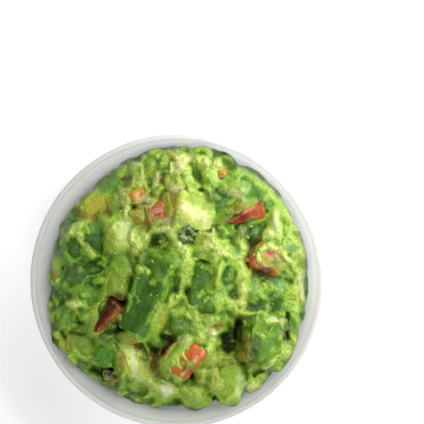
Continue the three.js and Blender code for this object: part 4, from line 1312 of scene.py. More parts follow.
    (7.4, -51, 6.8, 5.6, 0, 3.6, 0.6),
    (8.5, -50.5, 4.5, 1.5, -70, 4.2, 0.62),
    (10.2, -56, 4, 2.6, 20, 3.4, 0.54),
    (18.2, -43.5, 4.5, 1.8, -75, 4, 0.78),
    (46.5, -32, 5, 3, 70, 3.2, 0.7),
]
print("lobes:", len(LOBES))

# %% Lobes
LOBE_RISE = 1.2  # added to every lift
LOBE_POWER = 2.4  # how boxy the outlines are
LOBE_EDGE = (1.22, 0.92)  # a lobe fades out and is full at these radii
OVER_PIECES = 4.5  # lobes with this lift or more lie on top of the pieces
CLEARANCE = 1.6  # their middle stands at least this far over the piece
# fall of a lobe to its outline: a fixed part, a part of its half width, and at most so much
DOME_FALL = (0.5, 0.85, 4.2)
FLAT_FALL = (0.4, 0.5, 2.5)
bent_x = grid_x + 0.9 * on_grid(rough, 5, 131, 2)
bent_y = grid_y + 0.9 * on_grid(rough, 5, 137, 2)
calm = np.zeros_like(height)  # how far each place belongs to a flat lobe, which gets little grain
piece_top = np.full_like(height, NOWHERE)


def add_lobe(px, py, a, b, heading, lift, lobe_tone, power=2, slope_x=0, slope_y=0):
    """Puts one lobe into the height: lift - fall r^power over the heap, where r is 1 at its outline."""
    middle = int((px + SPAN) / CELL), int((py + SPAN) / CELL)
    extra = 0
    if lift >= OVER_PIECES:
        extra = max(0, piece_top[middle] + CLEARANCE - heap[middle] - lift - LOBE_RISE)
    part = window((px, py), 1.3 * a + 2.5)
    dx, dy = bent_x[part] - px, bent_y[part] - py
    along, across = turned(dx, dy, math.radians(heading))
    out = (np.abs(along / a) ** LOBE_POWER + np.abs(across / b) ** LOBE_POWER) ** (1 / LOBE_POWER)
    out = np.clip(out, 0, 1.4)
    fixed, growing, most = DOME_FALL if power < 3 else FLAT_FALL
    fall = min(most, fixed + growing * b)
    top = heap[part] + edge_lift[part] + lift + LOBE_RISE + extra + slope_x * dx + slope_y * dy
    mask = ease(*LOBE_EDGE, out)
    height[part] = mixed(height[part], top - fall * out**power, mask)
    tone[part] = mixed(tone[part], lobe_tone, mask)
    if power > 2:
        calm[part] = np.maximum(calm[part], mask)


def add_lobes(low, high):
    """Puts in the lobes whose lift is from low up to high, in the order of the table."""
    for x, y, a, b, heading, lift, *rest in LOBES:
        if low <= lift < high:
            add_lobe(x, y, a, b, heading, lift, *rest)


add_lobes(0, OVER_PIECES)
print(f"highest place of the mash: {height.max():.1f} mm")

# %% [markdown]
# ## The mash next to the pieces
#
# Along part of its border a cut piece has mash pressed up against it, which laps over its edge. Elsewhere
# the mash stands off and leaves a dark gap. A collision or a boolean would leave the same line all round.
# Here noise and each piece's share of border say which of the two happens where.


# %% Mash around the pieces
BORDER_REACH = 6  # a piece shapes the mash within this distance of its outline
STAND_OFF = 2.4  # where there is a gap, the mash beside the piece lies this much lower
LAP_RISE = 0.6  # mash that laps over an edge stands this high on it
WEDGE_DROP = 1.2  # mash lies lower on wedges, whose faces fall to one end
UNDER_FACE = 3  # the mash is pressed down at most this far below a face
NARROW_LAP = 0.25  # tomato is firmer, and mash covers less of its edge


def box_over(part, at, size, turn, rise):
    """Over each place: the height of the box's upper faces, of its main face alone, and how far inside the
    main face's outline the place is."""
    centre = place_of(at, size, rise)
    matrix = turning(*turn)
    dx, dy = grid_x[part] - centre[0], grid_y[part] - centre[1]
    faces = [(sign * matrix[:, k], size[k] / 2) for k in range(3) for sign in (1, -1)]
    over = [(n, centre[2] + (d - n[0] * dx - n[1] * dy) / n[2]) for n, d in faces if n[2] > 0.05]
    top = np.min([z for _, z in over], axis=0)
    main_way, main = max(over, key=lambda row: row[0][2])
    rest = [(n, d) for n, d in faces if abs(n @ main_way) < 0.5]
    inside = np.min([d - n[0] * dx - n[1] * dy - n[2] * (main - centre[2]) for n, d in rest], axis=0)
    return top, main, inside


borders = {node: look[-1] for node, look in {**AVOCADO_LOOKS, **TOMATO_LOOKS}.items()}
patchy = on_grid(rough, 6, 71, 3)
frayed = on_grid(rough, 4.5, 75, 3)
for index, (node, (at, size, turn, rise, edge)) in enumerate(PLACES.items()):
    part = window(at, 0.75 * max(size[:2]) + 5)
    top, main, inside = box_over(part, at, size, turn, rise + PROUD.get(node, 0))
    inside = inside - (0.9 + 0.9 * frayed[part]) * (NARROW_LAP if node in TOMATO_LOOKS else 1)
    bordered = ease(0.35, -0.15, patchy[part] + 0.9 - 1.8 * borders[node] + 0.3 * math.sin(index))
    pressed = main - 0.55 * np.clip(-inside, 0, None) - 0.3 - STAND_OFF * (1 - bordered)
    near = ease(-BORDER_REACH, -1, inside)
    here = height[part]
    here = np.where(pressed > here, here + (pressed - here) * near, here)
    drop = WEDGE_DROP if node in WEDGE else 0
    lap = main - drop + LAP_RISE * bordered - 0.8 * np.clip(inside - LAP_RISE * bordered, 0, None)
    lap = np.maximum(lap - 1.5 * (1 - bordered), main - UNDER_FACE - drop)
    height[part] = np.where(inside > 0, np.minimum(here, lap), here)
    piece_top[part] = np.where(inside > 0, np.maximum(piece_top[part], top), piece_top[part])
    if node in AVOCADO_LOOKS:
        kin = 0.75 * ease(-5.5, -0.5, inside + frayed[part])
        tone[part] = mixed(tone[part], min(0.62, 0.15 + 0.85 * AVOCADO_LOOKS[node][0]), kin)
add_lobes(OVER_PIECES, math.inf)
print("borders:", len(borders))

# %% [markdown]
# ## Hollows and strokes
#
# The spoon leaves two kinds of line. A hollow is a dark groove along a line of places, with a bell curve
# for its section. A stroke is a ridge where mash was pushed up or smeared over a face. Curves with a bevel
# could be laid on the mash, but they would look like worms. As part of the height, lines belong to it.

# %% Tables of hollows and strokes
HOLLOWS = [
    # half width, depth, then the places x y along it
    (2.5, 4, (-46, 18), (-45.5, 13)),
    (2.2, 7, (-27, -5.5), (-24.5, -9)),
    (1.6, 5, (-36.5, -19), (-33.8, -12), (-29, -6.5)),
    (1.4, 5, (-27, -17.5), (-25, -21)),
    (1.8, 5, (34, -24), (36, -26)),
    (1.8, 5, (30.5, 9), (31, 5)),
    (1.8, 5, (-37, -39.5), (-33, -42.5)),
    (1.6, 6, (-32.5, -40), (-29.5, -41)),
    (2.2, 6, (-5, -25), (-2, -26.5)),
    (1.6, 4, (-4, -54), (1, -54)),
    (1.6, 6, (48.2, -23), (49, -29)),
    (2.4, 6, (-12.8, -28.2), (-10, -30)),
    (1.8, 4, (-44, -34.5), (-40, -36.5)),
    (1.6, 4, (50.5, -19), (52, -23)),
    (1.4, 4, (29, -38), (30.5, -42)),
    (1.5, 4, (22.5, -18), (23.5, -20.5)),
    (1.5, 5, (16.5, -51.5), (17.8, -54.5)),
    (1.3, 6, (29.5, -39), (29.8, -45), (29, -50)),
    (1.6, 5, (4, -41.5), (8, -41)),
    (1.4, 4, (-12, -54), (-9, -53)),
    (1.4, 4, (50.8, 16), (49, 13.5)),
    (1.3, 4, (20.5, 51), (24, 50)),
    (1.6, 4, (-18.5, 34), (-18.2, 30.5)),
    (1.3, 2.5, (-6.3, 47.5), (-6.8, 43.5)),
    (1.2, 4, (-12.5, 45.5), (-12.8, 43)),
    (1.5, 4, (-13, 24.5), (-14, 22.5)),
    (2.2, 3, (-10, 20), (-8, 17.5)),
    (2.5, 3, (8, 49.5), (9, 46)),
    (1, 4, (9.5, 40.3), (13, 39)),
    (1.6, 6, (21.5, 52), (24.5, 51.3)),
    (1.4, 5, (17.5, 22.5), (20, 22)),
    (1.6, 3, (31, 17.5), (34, 18)),
    (1.2, 3, (33, 16.3), (36, 16)),
    (1.2, 4, (38.5, 34), (38.2, 31)),
    (0.9, 4, (41.8, 34), (42.6, 34)),
    (1.1, 4, (11, 20), (9, 17.5)),
    (1.4, 3, (13.5, 8.5), (9.5, 8), (7.5, 4)),
    (1.4, 6, (7.5, 4), (6.5, 0)),
    (2, 9, (5.5, -2), (4.5, -4.5)),
    (1, 6, (4.6, -5), (4.8, -9)),
    (1.8, 6, (14, -9.5), (14.3, -12.5)),
    (1.3, 7, (32.5, -11), (36.8, -11.6)),
    (1, 6, (36.5, -8.5), (36.8, -12)),
    (1.5, 5, (36.5, 3), (40, 1.8), (44, 1)),
    (1.6, 2, (46, 4), (47, 3.6)),
    (0.8, 4, (49.5, 11.5), (52.5, 8.5), (56, 5.5)),
    (1, 5, (56.8, -1), (56.8, -7)),
    (2.4, 9, (27, -18.5), (27, -24)),
    (1.6, 9, (27.3, -24), (27.6, -33), (29.3, -38.5)),
    (2.6, 6, (21.8, -25.3), (24, -24)),
    (2.5, 5, (22, -29.5), (25, -28.5)),
    (1.3, 6, (47.8, -21), (47.5, -26.5)),
    (1.2, 6, (48.5, -15), (48, -20)),
    (1.6, 5, (42, -41), (43, -41.5)),
    (1, 4, (35, -41.5), (38, -39.5)),
    (1.3, 6, (29.3, -49), (30.5, -50)),
    (1.4, 6, (16.2, -50.5), (17, -52.5)),
    (1.4, 6, (6, -41.5), (5, -44.5)),
    (1, 5, (13.5, -42), (14, -44.5)),
    (1, 5, (12, -30.5), (12.5, -31.5)),
    (2.6, 1.5, (-11, -33), (-9.5, -39)),
    (1.5, 5, (-6, -30.5), (-5, -33)),
    (1.5, 6, (-24, -20), (-27.5, -22), (-31.5, -24)),
    (1.3, 6, (-22.8, -9), (-23.5, -13)),
    (1, 5, (-34.5, -12), (-35.5, -14)),
    (1.3, 5, (-20.3, 2), (-20.5, -3.5)),
    (1.5, 4, (-15, -48), (-15.5, -50)),
    (1.6, 3, (-21, -43.5), (-20, -44.5)),
    (0.9, 4, (-42.5, -12.8), (-40, -12)),
    (1.4, 4, (-47.5, 5.5), (-46.5, 4.5)),
    (1.6, 3, (-53.5, -6), (-51.5, -9)),
    (1.2, 3, (-50.5, 5.5), (-48.5, 3)),
    (1.6, 3, (-31, -36), (-30, -38)),
    (1, 4, (-51, -23), (-50.3, -25)),
    (1.2, 4, (-24.2, -31), (-24, -37.5)),
]
STROKES = [
    # half width, rise over what is below it, tone, then the places x y along it
    # upper left
    (1.3, 1.7, 0.71, (-50, 20), (-47.5, 23.5), (-44.5, 26), (-40.5, 26)),
    (1.6, 1.2, 0.66, (-46, 22.5), (-42.5, 20.5)),
    (1, 1, 0.65, (-43.5, 18), (-42, 15.5), (-40.5, 14)),
    (2.4, 2, 0.67, (-40, 13.5), (-37.8, 12)),
    (0.9, 1, 0.55, (-36, 11.5), (-32, 10.5)),
    (2.6, 2, 0.6, (-19.5, 49), (-18.5, 45)),
    (1, 2.6, 0.76, (-21, 50.5), (-18, 52.3), (-16.2, 50), (-15.7, 46), (-14.5, 43.3)),
    (1.8, 1.6, 0.58, (-24.5, 48.5), (-24.3, 46)),
    (3, 1.6, 0.4, (-30.5, 42.5), (-28, 44.5)),
    (2.2, 2.2, 0.68, (-23.5, 40), (-22.5, 36)),
    (1.3, 1.8, 0.7, (-23, 33.5), (-22.5, 30)),
    (2.5, 0.9, 0.45, (-29, 36), (-28.5, 33)),
    (2.8, 1.6, 0.66, (-17.3, 19.5), (-16.5, 16)),
    (1.8, 1.5, 0.62, (-14.5, 21), (-13.5, 18)),
    # top
    (2.8, 1.8, 0.52, (-12.5, 52), (-11.5, 47)),
    (2, 1.5, 0.6, (-4, 56), (1, 56.5)),
    (1.5, 1.8, 0.71, (-9, 47.5), (-8.5, 45)),
    (2.3, 1.8, 0.65, (-4, 44.5), (-3, 42)),
    (2.8, 2, 0.56, (-0.5, 48), (0.5, 46)),
    (1.6, 2, 0.82, (1, 51.5), (1.8, 50.5)),
    (1.7, 2, 0.71, (4.2, 48.5), (4.6, 44.5)),
    (1.2, 1.5, 0.65, (6.5, 44), (8.5, 42)),
    (1.8, 1.8, 0.74, (8.5, 54), (9.5, 53)),
    (1.8, 2, 0.77, (12.2, 54), (12.8, 52.5)),
    (1.6, 1.6, 0.71, (15, 52), (15.5, 50)),
    (2.3, 2, 0.76, (18, 52.5), (18.8, 51)),
    (2.6, 1.8, 0.64, (14.5, 48), (15.5, 43)),
    (0.9, 1.4, 0.74, (17.2, 49), (17.5, 46.5), (18.5, 44.5), (21, 44)),
    (1.5, 1.8, 0.72, (22.5, 46), (25.5, 43.8), (29.5, 42.6)),
    (2, 1.8, 0.76, (30, 41.5), (28, 38.5)),
    (2, 1, 0.61, (24, 41), (26, 40.5)),
    (1.6, 1.4, 0.65, (25, 49.5), (28.5, 50), (31, 48)),
    (1.3, 1.2, 0.66, (34, 44.5), (38, 41.5), (41, 38.5)),
    (2, 1.2, 0.64, (0, 41.5), (3, 42)),
    # upper right
    (1.5, 2, 0.62, (29, 49.2), (35, 45.2), (40.5, 40.8), (44.5, 35.8)),
    (1.5, 2, 0.64, (45, 35), (49, 30.2), (53, 24.5), (56, 17.5), (57.5, 11)),
    (1.4, 1.2, 0.71, (42.5, 39), (43.5, 36.5)),
    (2.4, 1.2, 0.66, (43.3, 30), (43.5, 22)),
    (2, 1.4, 0.67, (47.5, 31), (49.5, 27)),
    (2, 1.3, 0.68, (52.5, 26), (54, 23)),
    (2.2, 1.4, 0.66, (46.5, 18), (47.5, 14.5)),
    (2, 1, 0.55, (50.5, 20.5), (51.5, 15)),
    (2.4, 1.6, 0.67, (55, 18), (56, 11)),
    (1.8, 1.2, 0.62, (53.5, 9), (55.5, 6.5)),
    (1.6, 2, 0.72, (50, 9.5), (52.5, 6.5), (54.8, 2.5), (55, -3.5)),
    (2.2, 1.3, 0.66, (52.5, -4), (53, -7.5)),
    (2, 1.4, 0.68, (27.8, 18.5), (28.2, 15.5)),
    (1.4, 1.6, 0.6, (28.8, 13), (29.5, 9.5)),
    (3.2, 2.6, 0.72, (11, 16.5), (16.5, 16.3), (20, 13.8)),
    (2.8, 2.4, 0.62, (20, 13.8), (24.5, 10)),
    (2.9, 2.6, 0.66, (24.5, 10), (27.5, 6), (29.5, 1.5), (30, -3)),
    (2.3, 1.8, 0.72, (29, -8), (29.5, -11)),
    (1.6, 1.6, 0.65, (23.5, -9.5), (25.5, -12)),
    (2.2, 1.8, 0.25, (34.5, -4.5), (34.8, -10)),
    (2.6, 1.5, 0.52, (41.5, -1.5), (44, -3)),
    (1.3, 1.2, 0.5, (35.5, -1.5), (38.5, -6)),
    (1.5, 1.4, 0.65, (38.5, -9), (37.5, -12.5)),
    (1.6, 1.3, 0.61, (49, -4), (48.8, -11)),
    (2, 1.5, 0.58, (52.5, -12), (53, -16)),
    (2.6, 1.5, 0.46, (53, -19), (52.5, -21.5)),
    # lower right
    (1.8, 1.6, 0.71, (33, -13.8), (37, -15.3)),
    (2, 2.2, 0.76, (40.5, -16), (44, -17)),
    (1.2, 1.6, 0.68, (45.8, -18.5), (47, -22)),
    (1.6, 1.4, 0.68, (35.5, -22.5), (38.5, -24.5)),
    (0.5, 0.9, 0.66, (39, -24), (44.5, -18)),
    (2.3, 1.7, 0.67, (48.3, -29), (47.8, -34)),
    (2.2, 1.5, 0.7, (42.5, -36.5), (45, -38)),
    (0.7, 1.2, 0.66, (33, -42.5), (39, -36)),
    (1.7, 1.5, 0.62, (32, -39.5), (34, -38.8)),
    (2, 1.6, 0.74, (32, -46), (32, -48)),
    (2, 1.6, 0.71, (35.5, -46.5), (37, -45)),
    (1.4, 2.6, 0.84, (27.6, -40), (28, -46), (26.4, -51), (22.5, -53.2)),
    # bottom
    # the lit ridge: cream flesh, with its palest tones partly a painted highlight
    (3, 2.4, 0.84, (-22.5, -30), (-19.5, -34), (-18, -39), (-13, -44.5), (-6, -48.5)),
    (1, 3, 0.95, (-19.5, -32), (-18, -37.5), (-16.5, -41), (-12, -45.5)),
    (2.6, 2, 0.62, (16.3, -41), (16.8, -46)),
    (2.2, 1.8, 0.66, (10.5, -40.5), (10.8, -43.5)),
    (3.5, 1.6, 0.52, (7, -49), (9, -54)),
    (1.6, 1.6, 0.61, (10.5, -51.5), (11.5, -54.5)),
    (1.8, 1.4, 0.46, (3.5, -50), (4, -53)),
    (3, 2, 0.66, (-9, -47.5), (-6, -51)),
    (1.6, 1.4, 0.71, (-11, -50.5), (-7, -53.5)),
    (1.4, 1.4, 0.65, (-14.5, -43.5), (-12, -45.5)),
    (2.2, 1.6, 0.46, (-19.5, -46.5), (-17.5, -46)),
    (1.3, 1.4, 0.52, (-24.5, -45), (-24, -48)),
    (1, 1.2, 0.61, (-15, -52), (-13.5, -52)),
    (1.2, 1, 0.5, (-26.5, -40), (-25.5, -44)),
    # lower left
    (1.8, 2, 0.6, (-30.5, -26.5), (-27.5, -29.5), (-26, -32.5)),
    (1.2, 1.2, 0.62, (-46.5, -30.5), (-44, -33)),
    (1, 1.2, 0.56, (-50, -30.5), (-46, -34), (-41, -34.5)),
    (1.7, 1.8, 0.72, (-47, -11.2), (-45.5, -11.8)),
    (1.6, 2.2, 0.7, (-44.7, -9.8), (-44, -10.5)),
    (1.6, 1.9, 0.66, (-42.3, -10.3), (-40.5, -10.5)),
    (2.2, 2, 0.67, (-40, -15.2), (-38, -14.8)),
    (1.2, 1.6, 0.61, (-32.3, -7.8), (-35.5, -10.3), (-36.8, -13)),
    (1.7, 1.2, 0.52, (-37.5, -18), (-37.3, -22)),
    (1.6, 1.2, 0.4, (-49.5, -14), (-49, -18)),
    (1.2, 1.6, 0.62, (-52, -20.5), (-49.5, -21.5), (-46, -19.5)),
    # left
    (1.6, 2.4, 0.68, (-53.3, 8.5), (-52, 8.8)),
    (1.3, 2.2, 0.66, (-53.5, 6.5), (-52.5, 1.5), (-50.5, -2), (-47, -4), (-43.5, -3.2)),
    (0.8, 1, 0.46, (-42, -1.5), (-39, 1.3), (-34.5, 3.3), (-30.5, 5), (-28.5, 6.8)),
    (1.8, 1, 0.3, (-49.5, 16), (-50, 11.5)),
    # centre
    (3.1, 2.6, 0.74, (3.8, 13), (5, 9), (4.6, 4.5)),
    (1.8, 2.2, 0.71, (0.5, 17), (2.3, 15)),
    (2, 2.4, 0.72, (4.6, 4.5), (3.6, 0)),
    (1, 2.2, 0.66, (3.4, 0), (1.5, -4), (-0.5, -7), (-1.5, -9.5)),
    (1.2, 1.2, 0.55, (-1.5, 10.5), (-0.5, 8)),
    (1.1, 1.2, 0.7, (-15.5, 5), (-13.8, 3)),
    (0.9, 0.9, 0.64, (-7, 0.5), (-5.8, 1.6)),
    (0.7, 0.9, 0.6, (-17.3, -5.5), (-16.3, -9.5)),
    (0.7, 0.7, 0.6, (-4, 5.3), (-3.3, 5.6)),
    (0.6, 0.7, 0.6, (-1.6, -0.8), (-1.2, -1.2)),
    (1, 1.2, 0.66, (2.8, -6.5), (4.5, -10), (6, -13)),
    (1.8, 1.8, 0.71, (7, -14), (8.3, -16.5)),
    (1.7, 1.4, 0.61, (-1, -13), (1.5, -13)),
    (2.6, 0.8, 0.3, (0.5, -17), (2.5, -21)),
    (1.4, 2.2, 0.66, (16.8, 9), (18, 5), (18.2, 0.5), (19, -2.5)),
    (1.2, 1.2, 0.67, (13.6, -3.8), (14.6, -4.2)),
    (0.9, 1.4, 0.67, (13.3, -7), (12, -9), (11.3, -11.5)),
    (2.2, 1.8, 0.73, (16.5, -8), (18, -11.5)),
    (1.4, 1.5, 0.67, (20.5, -6), (21.5, -10)),
    (2.2, 1.3, 0.61, (12, -15.5), (14.5, -17)),
    (2.2, 1.4, 0.61, (10.5, -20.5), (12.5, -22)),
    (1.4, 1.7, 0.82, (15.7, -21.6), (16.4, -22.6)),
    (2.4, 1.7, 0.73, (14.8, -25.5), (15.6, -28)),
    (1.6, 1.5, 0.71, (10, -24.5), (11.3, -25.3)),
    (2, 1.2, 0.58, (7, -18.5), (8.5, -20)),
    (2.4, 1.2, 0.61, (15.5, -32.5), (16, -36.5)),
    (2, 1, 0.48, (20, -33.5), (22, -35)),
    # on and around the tomatoes
    (1.1, 5, 0.86, (1.8, -31.2), (4.5, -33.2), (7.8, -34.2)),
    (1.1, 5, 0.8, (-0.3, -33), (0.3, -36.3), (3, -38.6)),
    (2.4, 4.4, 0.7, (4.2, -25.5), (-1.2, -31.5), (-6.6, -37.6)),
    (1.5, 3.6, 0.58, (-7.5, -38.5), (-4.5, -41)),
    (1, 3, 0.72, (5.5, -24.5), (3.6, -28.5)),
    (1.5, 1.4, 0.68, (37, 7), (36.5, 11), (38.5, 14.5), (42, 15), (45.5, 12), (47.5, 9.5)),
    (1.4, 1.2, 0.55, (41.5, 7.5), (44.5, 6.5)),
    (1, 1, 0.65, (46, 5.5), (43, 3)),
    (1.5, 1.2, 0.61, (29.5, 34), (33, 35.5)),
    (0.6, 0.8, 0.72, (33.5, 33), (34.3, 35.5)),
    (0.8, 0.8, 0.71, (-12, 27), (-11.5, 29.5)),
    (1.2, 1.6, 0.62, (-9.5, 22.8), (-6.5, 23.2)),
    (1.3, 1.6, 0.78, (-4.3, 24.2), (-3.6, 22.8)),
    (0.6, 1, 0.65, (-18.5, 35), (-14.5, 35.4)),
    (1, 1, 0.71, (-14.5, 38.5), (-13, 40)),
    (1.2, 1, 0.58, (-18, 30.5), (-16.5, 31.5)),
]
print("hollows:", len(HOLLOWS), "strokes:", len(STROKES))

# %% Hollows and strokes
HOLLOW_BELL = 0.8  # radius of a hollow's bell curve, as a share of its half width
STROKE_JOIN = 1.3
STROKE_DEPTH = 1.5  # a stroke's sides reach this far down
STROKE_SHARE = 0.4  # a stroke rises by this share of its number
STROKE_COVER = 0.45  # its tone goes over the mash by this share
THIN = 1.2  # strokes up to this half width spread less than wider ones
THIN_SPREAD, WIDE_SPREAD = 0.2, 0.7


def along_line(part, line):
    """Distance of each place from a line through the given places, in the bent coordinates."""
    nearest = np.full(grid_x[part].shape, 1e3)
    for start, end in zip(line, line[1:]):
        way = np.array(end, float) - start
        dx, dy = bent_x[part] - start[0], bent_y[part] - start[1]
        t = np.clip((dx * way[0] + dy * way[1]) / (way @ way), 0, 1)
        nearest = np.minimum(nearest, np.hypot(dx - t * way[0], dy - t * way[1]))
    return nearest


def window_of(line, reach):
    """The part of the grid within reach of a line."""
    middle = (np.min(line, axis=0) + np.max(line, axis=0)) / 2
    return window(middle, np.ptp(line, axis=0).max() / 2 + reach)


for half_width, depth, *line in HOLLOWS:
    bell = HOLLOW_BELL * half_width
    part = window_of(line, 2.5 * bell + 1)
    height[part] -= depth * np.exp(-((along_line(part, line) / bell) ** 2))
below = blurred(np.maximum(height, piece_top), 2.2)
swelling = 1 + 0.35 * on_grid(rough, 4, 141, 2)
for half_width, rise, stroke_tone, *line in STROKES:
    reach = 1.2 * half_width + (THIN_SPREAD if half_width <= THIN else WIDE_SPREAD)
    part = window_of(line, reach + 2)
    left = 1 - (along_line(part, line) / (reach * swelling[part])) ** 2
    lift = STROKE_SHARE * rise * min(1, half_width / 1.5)
    ridge = below[part] - STROKE_DEPTH + (lift + STROKE_DEPTH) * np.clip(left, 0, None) ** 0.6
    ridge, ground = np.where(left > -0.3, ridge, NOWHERE), height[part]
    height[part] = joined(ridge, ground, STROKE_JOIN)
    tone[part] = mixed(tone[part], stroke_tone, STROKE_COVER * ease(-1, 1, ridge - ground))
print(f"highest place of the mash: {height.max():.1f} mm")

# %% [markdown]
# ## Grain and colour of the mash
#
# Close up, mash is grainy where it was crushed and smooth where a spoon passed. Displacement in the shader
# could add the grain, but it would be lost outside Blender. Here grains of three sizes go into the height:
# much in the coarse patches listed next, little on flat lobes. Then the height paints light and shade into
# the colour of the mash: what stands out and the tops of grains are painted paler, gaps get painted shade
# in deeper green and olive, and creases get painted shade.

# %% Coarse patches
COARSE = [
    # place x y of a coarse patch of mash, its half sizes
    ((51, 16), (7, 15)),
    ((51, -6), (6, 7)),
    ((16, 14), (10, 5)),
    ((27, 5), (5, 9)),
    ((24, -10), (9, 4)),
    ((0, 50), (18, 7)),
    ((16, 46), (5, 8)),
    ((-21, 40), (5, 13)),
    ((4, 8), (4, 11)),
    ((12, -20), (8, 6)),
    ((15, -40), (5, 8)),
    ((-10, -46), (9, 5)),
    ((-43, -12), (6, 4)),
    ((40, -5), (6, 4)),
    ((35, -46), (5, 4)),
    ((47, -31), (4, 6)),
    ((-17, 18), (5, 6)),
]
print("coarse patches:", len(COARSE))

# %% Grain and colour of the mash
SMOOTHING = 0.35
OVER_WALL = 0.25  # the mash keeps this far above the bowl
GAP_PAINTED_SHADE, RELIEF_LIGHT_AND_SHADE = 0.35, 0.12  # painted shade taken from the tone in gaps, and painted light and shade added by relief
GAP_SHADE, CREASE_SHADE = 0.55, 0.35  # painted shade: shares of the light that the tint of gaps and creases loses
wall = np.interp(grid_radius, inside_wall[:, 0], inside_wall[:, 1])
height = np.maximum(blurred(height, SMOOTHING), wall + OVER_WALL)
skin = flat_points(height)


def on_skin(pattern, *args):
    """A noise pattern over the mash, which follows its height as well as its place."""
    return pattern(skin, *args).reshape(height.shape)


coarse, fine, finest = on_skin(grains, 3.8, 61), on_skin(grains, 1.4, 67), on_skin(grains, 0.9, 69)
grainy = 0.6 * ease(-0.3, 0.6, on_grid(rough, 9, 73, 2))
for (px, py), (a, b) in COARSE:
    grainy = np.maximum(grainy, ease(1.3, 0.7, np.hypot((bent_x - px) / a, (bent_y - py) / b)))
grainy *= 1 - 0.75 * calm
lumps = grainy * (1.2 * coarse + 0.3 * fine - 0.8)
height += 0.2 * on_skin(rough, 4, 51, 2) + lumps + (0.15 + 0.25 * grainy) * finest
relief = height - blurred(height, 1.6)
sunk = ease(1.5, 6.0, heap + 1.0 - blurred(height, 0.5))
# painted light and shade: relief makes what stands out paler and what lies low darker
tone = blurred(tone, 0.8) + 0.06 * on_skin(rough, 7, 81, 2) + RELIEF_LIGHT_AND_SHADE * np.clip(relief / 0.6, -1.5, 0.8)
# painted light on the tops of the grains and painted shade between them
grain_light_and_shade = 0.16 * (fine - 0.45) + 0.16 * (finest - 0.45)
# painted shade lowers the tone in the gaps
tone = tone + (0.4 + 0.6 * grainy) * grain_light_and_shade - GAP_PAINTED_SHADE * sunk
# browning: partly at random, partly painted shade in the gaps
olive = 0.25 * sunk + 0.2 * ease(0.2, 0.9, on_grid(rough, 12, 91, 2))
crease = ease(0.15, 1.1, -relief) + 0.5 * ease(0.5, 2.5, blurred(height, 4) - height)
# painted shade in gaps and creases, which darkens the tint of the mash
shade = (1 - GAP_SHADE * sunk) * (1 - CREASE_SHADE * np.clip(crease, 0, 1))
print(f"share of the grid that is sunk: {sunk[grid_radius < CURD_REACH].mean():.2f}")

# %% [markdown]
# ## The edge of the mash
#
# Where the heap meets the bowl its edge runs in and out, with bays that show the white wall. Around its
# whole length noise and grains bend it. The larger bulges and bays are a short table of directions.
#
# A square grid would end in steps there. So the height is read off onto a disc of rings, stretched to the
# edge. Below it, hidden rings close the mash along the wall of the bowl.


# %% Mash mesh
def ring_start(k):
    """Number of the first point of ring k of a disc."""
    return 1 + 3 * k * (k - 1) if k > 0 else 0


def band(one, other, count):
    """Squares between two rings of points whose first points have the given numbers."""
    step = np.arange(count)
    after = (step + 1) % count
    return np.stack([one + after, one + step, other + step, other + after], axis=-1)


def disc(rings):
    """Points of a disc of radius 1: ring k has 6 k points. Returns x, y and triangles."""
    x, y, triangles = [np.zeros(1)], [np.zeros(1)], []
    for k in range(1, rings + 1):
        count, before = 6 * k, max(6 * (k - 1), 1)
        angle = np.arange(count) / count * 2 * np.pi
        x.append(k / rings * np.cos(angle))
        y.append(k / rings * np.sin(angle))
        step = np.arange(count)
        side, place = step // k, step % k
        outer, inner = ring_start(k), ring_start(k - 1)
        here, following = outer + step, outer + (step + 1) % count
        first = side * (k - 1) + place
        under, after = inner + first % before, inner + (first + 1) % before
        triangles.append(np.stack([under, here, following], axis=-1))
        triangles.append(np.stack([under, following, after], axis=-1)[place < k - 1])
    return np.concatenate(x), np.concatenate(y), np.vstack(triangles)


def sampled(field, x, y):
    """The grid's field at any places, blended from its four nearest points."""
    u, v = (x + SPAN) / CELL, (y + SPAN) / CELL
    i, j = np.floor(u).astype(int), np.floor(v).astype(int)
    low = mixed(field[i, j], field[i + 1, j], u - i)
    high = mixed(field[i, j + 1], field[i + 1, j + 1], u - i)
    return mixed(low, high, v - j)


RINGS = 168
HIDDEN_RINGS = 7
EDGE_WAVE = 1.8  # how far noise and grains move the edge
OVER_FLOOR = 0.35  # the hidden underside keeps this far above the bowl
HIDDEN_TONE = 0.4
EDGE_LOBES = [
    # direction in degrees, swelling of the edge there, half width in degrees
    (-95, -1.2, 4),
    (-81, 1.8, 5),
    (-73, -2.6, 2.5),
    (-66, 1.6, 4),
    (-59.5, -2.0, 1.5),
    (-54.5, 1.4, 3.5),
    (-46, -1.2, 3),
    (-32, 0.8, 5),
    (-20, -0.8, 3),
    (-4, 0.6, 5),
    (12, 1.0, 6),
    (35, -0.6, 3),
    (62, -1.6, 2.5),
    (70, 0.8, 3),
    (76, -0.8, 2),
    (112, 1.0, 4),
    (118, -1.0, 2),
    (128, 0.8, 3),
    (142, -0.6, 4),
    (154, 0.8, 4),
    (166, 0.8, 4),
    (178, 0.6, 3),
    (205, 1.0, 4),
    (213, -1.2, 2),
    (235, 0.8, 4),
    (262, 0.6, 4),
]
unit_x, unit_y, top_faces = disc(RINGS)
angle = np.arctan2(unit_y, unit_x)
circle = np.stack([EDGE_RING * np.cos(angle), EDGE_RING * np.sin(angle), 0 * angle], axis=-1)
edge_radius = heap_edge(angle) - EDGE_WAVE + EDGE_WAVE * rough(circle, 9, 5, 2)
edge_radius += EDGE_WAVE * grains(circle, EDGE_GRAIN, EDGE_SEED)
for degrees, swell, half_angle in EDGE_LOBES:
    away = (np.degrees(angle) - degrees + 180) % 360 - 180
    edge_radius = edge_radius + swell * np.exp(-((away / half_angle) ** 2))
x, y = unit_x * edge_radius, unit_y * edge_radius
rounding = 1.5 * np.clip((np.hypot(unit_x, unit_y) - 0.98) / 0.02, 0, 1) ** 2
surface = np.stack([x, y, sampled(height, x, y) - rounding], axis=-1)
